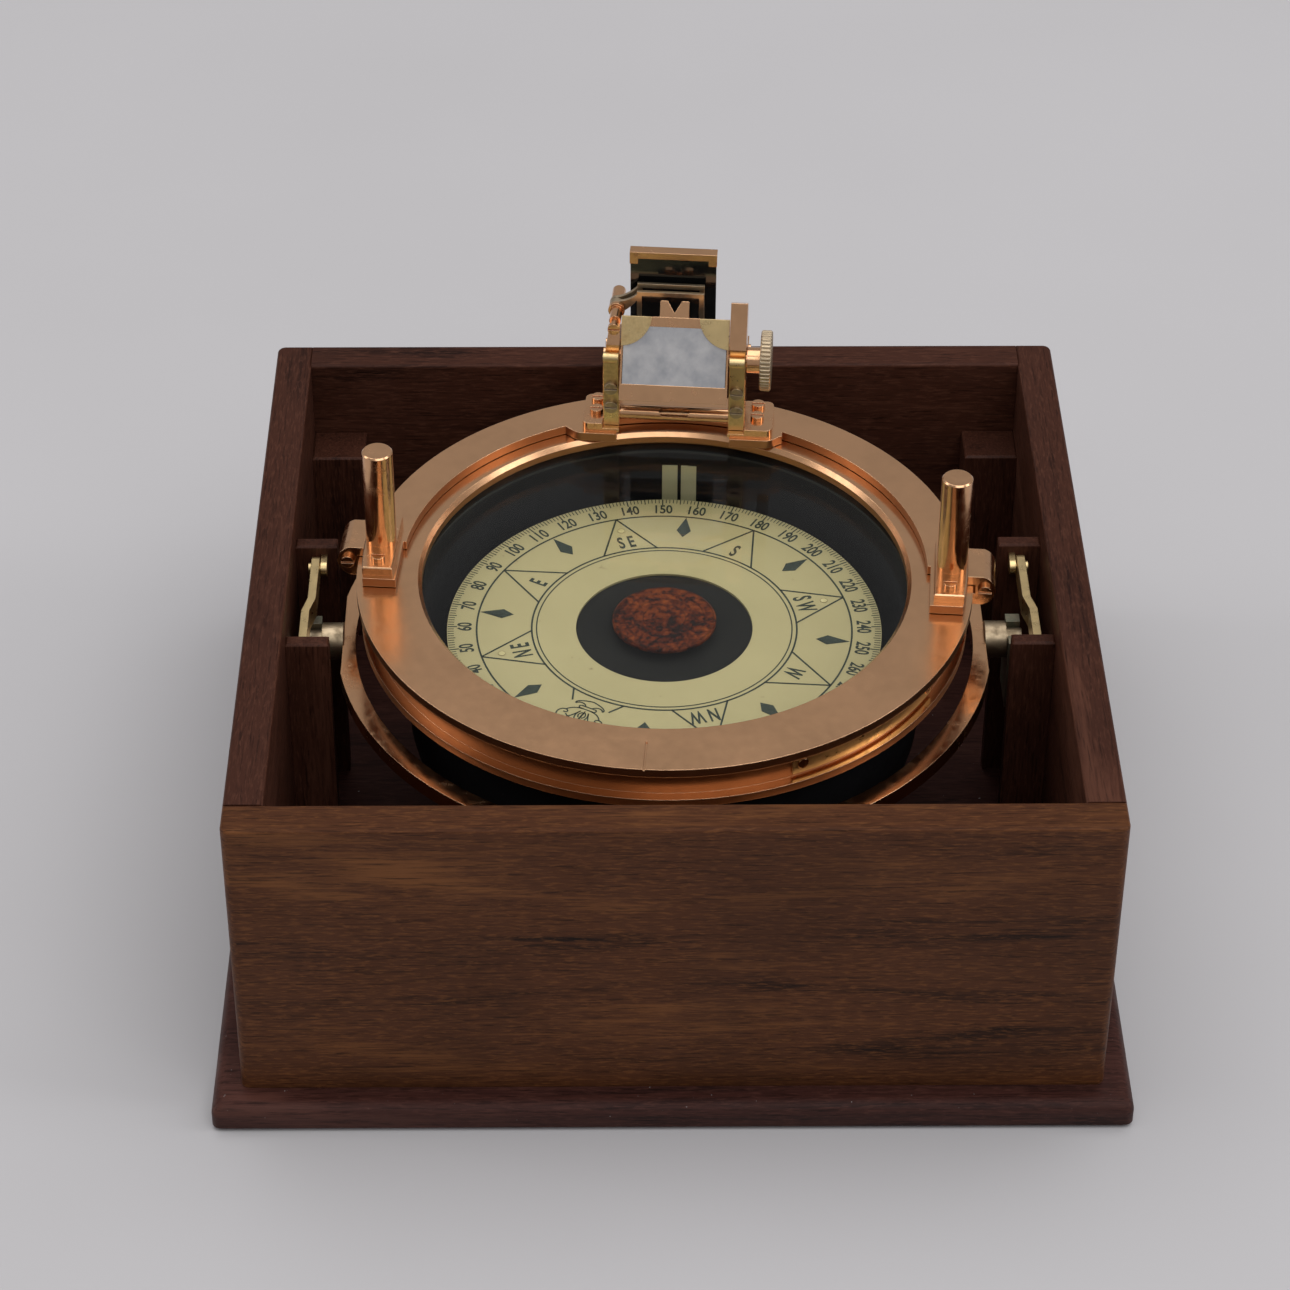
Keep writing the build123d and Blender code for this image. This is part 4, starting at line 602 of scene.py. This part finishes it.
def card_print():
    """All the dark print on the card."""
    shape = bmesh.new()
    degree_scale(shape)
    flat_ring(shape, SCALE_CIRCLE, LINE)
    flat_ring(shape, DOUBLE_OUTER, LINE)
    flat_ring(shape, DOUBLE_INNER, LINE * THIN_RING)
    for point in range(len(POINTS)):
        point_marks(shape, POINT_STEP * point)
    for corners in FLOWER:
        curve_line(shape, 0.0, corners, LINE * THIN_STROKE)
    for number in range(0, 360, 10):
        place = card_point(number, NUMBER_RADIUS)
        mesh = text_mesh(str(number), NUMBER_SIZE, place, outward(number), NUMBER_SQUEEZE, NUMBER_BOLD)
        shape.from_mesh(mesh)
    for point, words in enumerate(POINTS):
        if words:
            heading = POINT_STEP * point
            place = card_point(heading, LETTER_RADIUS)
            mesh = text_mesh(words, LETTER_SIZE, place, outward(heading), LETTER_SQUEEZE, LETTER_BOLD)
            shape.from_mesh(mesh)
    make_piece("card_print", shape, ink)


def luminous_dots():
    """Small pale dots with darker rims, between the lines of the four quarter points."""
    dots = bmesh.new()
    rims = bmesh.new()
    for heading in QUARTER_POINTS:
        middle = card_point(heading, DOT_RADIUS)
        spots = []
        for step in range(DOT_SIDES):
            angle = math.radians(360.0 * step / DOT_SIDES)
            spots.append(middle + Vector((math.cos(angle), math.sin(angle), 0)) * DOT_SIZE)
        flat_polygon(dots, spots)
        for first, last in zip(spots, spots[1:] + spots[:1]):
            flat_line(rims, first, last, DOT_RIM)
    make_piece("luminous_rims", rims, rim_paint)
    make_piece("luminous_dots", dots, dot_paint)


luminous_dots()
card_print()


# Floor, light and camera, in metres and watts
FLOOR_SIZE = 14.0
PAPER = [(0.35, (0.455, 0.445, 0.455)), (0.65, (0.480, 0.470, 0.482))]
CAMERA_PLACE = Vector((-0.0201938, -1.0407432, 0.9045675))
CAMERA_YAW = math.radians(0.647)
CAMERA_PITCH = math.radians(38.039)
CAMERA_ROLL = math.radians(0.227)
CAMERA_LENS = 104.713
SENSOR = 36.0
SKY_COLOR = (0.80, 0.79, 0.80, 1)
SKY_STRENGTH = 0.46

# Each soft box: its name, its place, the height it looks at, its width and length, and its power
SOFTBOXES = (
    ("overhead", (0.1, 0.4, 2.5), 0.1, (3.2, 2.4), 44),
    ("front_fill", (0.8, -2.0, 3.0), 0.05, (2.8, 1.8), 28),
    ("left_strip", (-2.2, 0.2, 1.2), 0.1, (0.7, 1.8), 9),
    ("right_strip", (2.2, -0.3, 1.5), 0.1, (0.7, 1.8), 12),
)


def floor():
    """A plain pale floor under the box."""
    mesh = bpy.data.meshes.new("floor")
    shape = bmesh.new()
    bmesh.ops.create_grid(shape, x_segments=1, y_segments=1, size=FLOOR_SIZE)
    shape.to_mesh(mesh)
    shape.free()
    n = Nodes("floor_paper")
    n.set(Base_Color=n.ramp(n.noise(2.0, 4, 0.5), PAPER), Roughness=0.85, Specular_IOR_Level=0.2)
    mesh.materials.append(n.material)
    ground = bpy.data.objects.new("floor", mesh)
    bpy.context.scene.collection.objects.link(ground)


def softbox(name, place, target_height, size, power):
    """A soft rectangular lamp that looks at the box's middle."""
    light = bpy.data.lights.new(name, "AREA")
    light.shape = "RECTANGLE"
    light.size, light.size_y = size
    light.energy = power
    holder = bpy.data.objects.new(name, light)
    holder.location = place
    aim = Vector((0, 0, target_height)) - Vector(place)
    holder.rotation_euler = aim.to_track_quat("-Z", "Y").to_euler()
    bpy.context.scene.collection.objects.link(holder)


def camera():
    """The camera at the photograph's place, turned by its yaw, then tilted down and rolled."""
    forward_level = Vector((math.sin(CAMERA_YAW), math.cos(CAMERA_YAW), 0))
    right = Vector((math.cos(CAMERA_YAW), -math.sin(CAMERA_YAW), 0))
    forward = forward_level * math.cos(CAMERA_PITCH) - UP * math.sin(CAMERA_PITCH)
    above = forward_level * math.sin(CAMERA_PITCH) + UP * math.cos(CAMERA_PITCH)
    x_axis = right * math.cos(CAMERA_ROLL) + above * math.sin(CAMERA_ROLL)
    y_axis = above * math.cos(CAMERA_ROLL) - right * math.sin(CAMERA_ROLL)
    lens = bpy.data.cameras.new("camera")
    lens.sensor_width = SENSOR
    lens.sensor_fit = "HORIZONTAL"
    lens.lens = CAMERA_LENS
    lens.clip_start = 0.01
    lens.clip_end = 100.0
    holder = bpy.data.objects.new("camera", lens)
    turn = Matrix((x_axis, y_axis, -forward)).transposed().to_4x4()
    holder.matrix_world = Matrix.Translation(CAMERA_PLACE) @ turn
    bpy.context.scene.collection.objects.link(holder)
    bpy.context.scene.camera = holder


def world():
    """Even light from all sides."""
    sky = bpy.data.worlds.new("studio")
    sky.use_nodes = True
    backdrop = sky.node_tree.nodes["Background"]
    backdrop.inputs["Color"].default_value = SKY_COLOR
    backdrop.inputs["Strength"].default_value = SKY_STRENGTH
    bpy.context.scene.world = sky


floor()
for softbox_values in SOFTBOXES:
    softbox(*softbox_values)
world()
camera()
bpy.context.scene.view_settings.view_transform = "Standard"
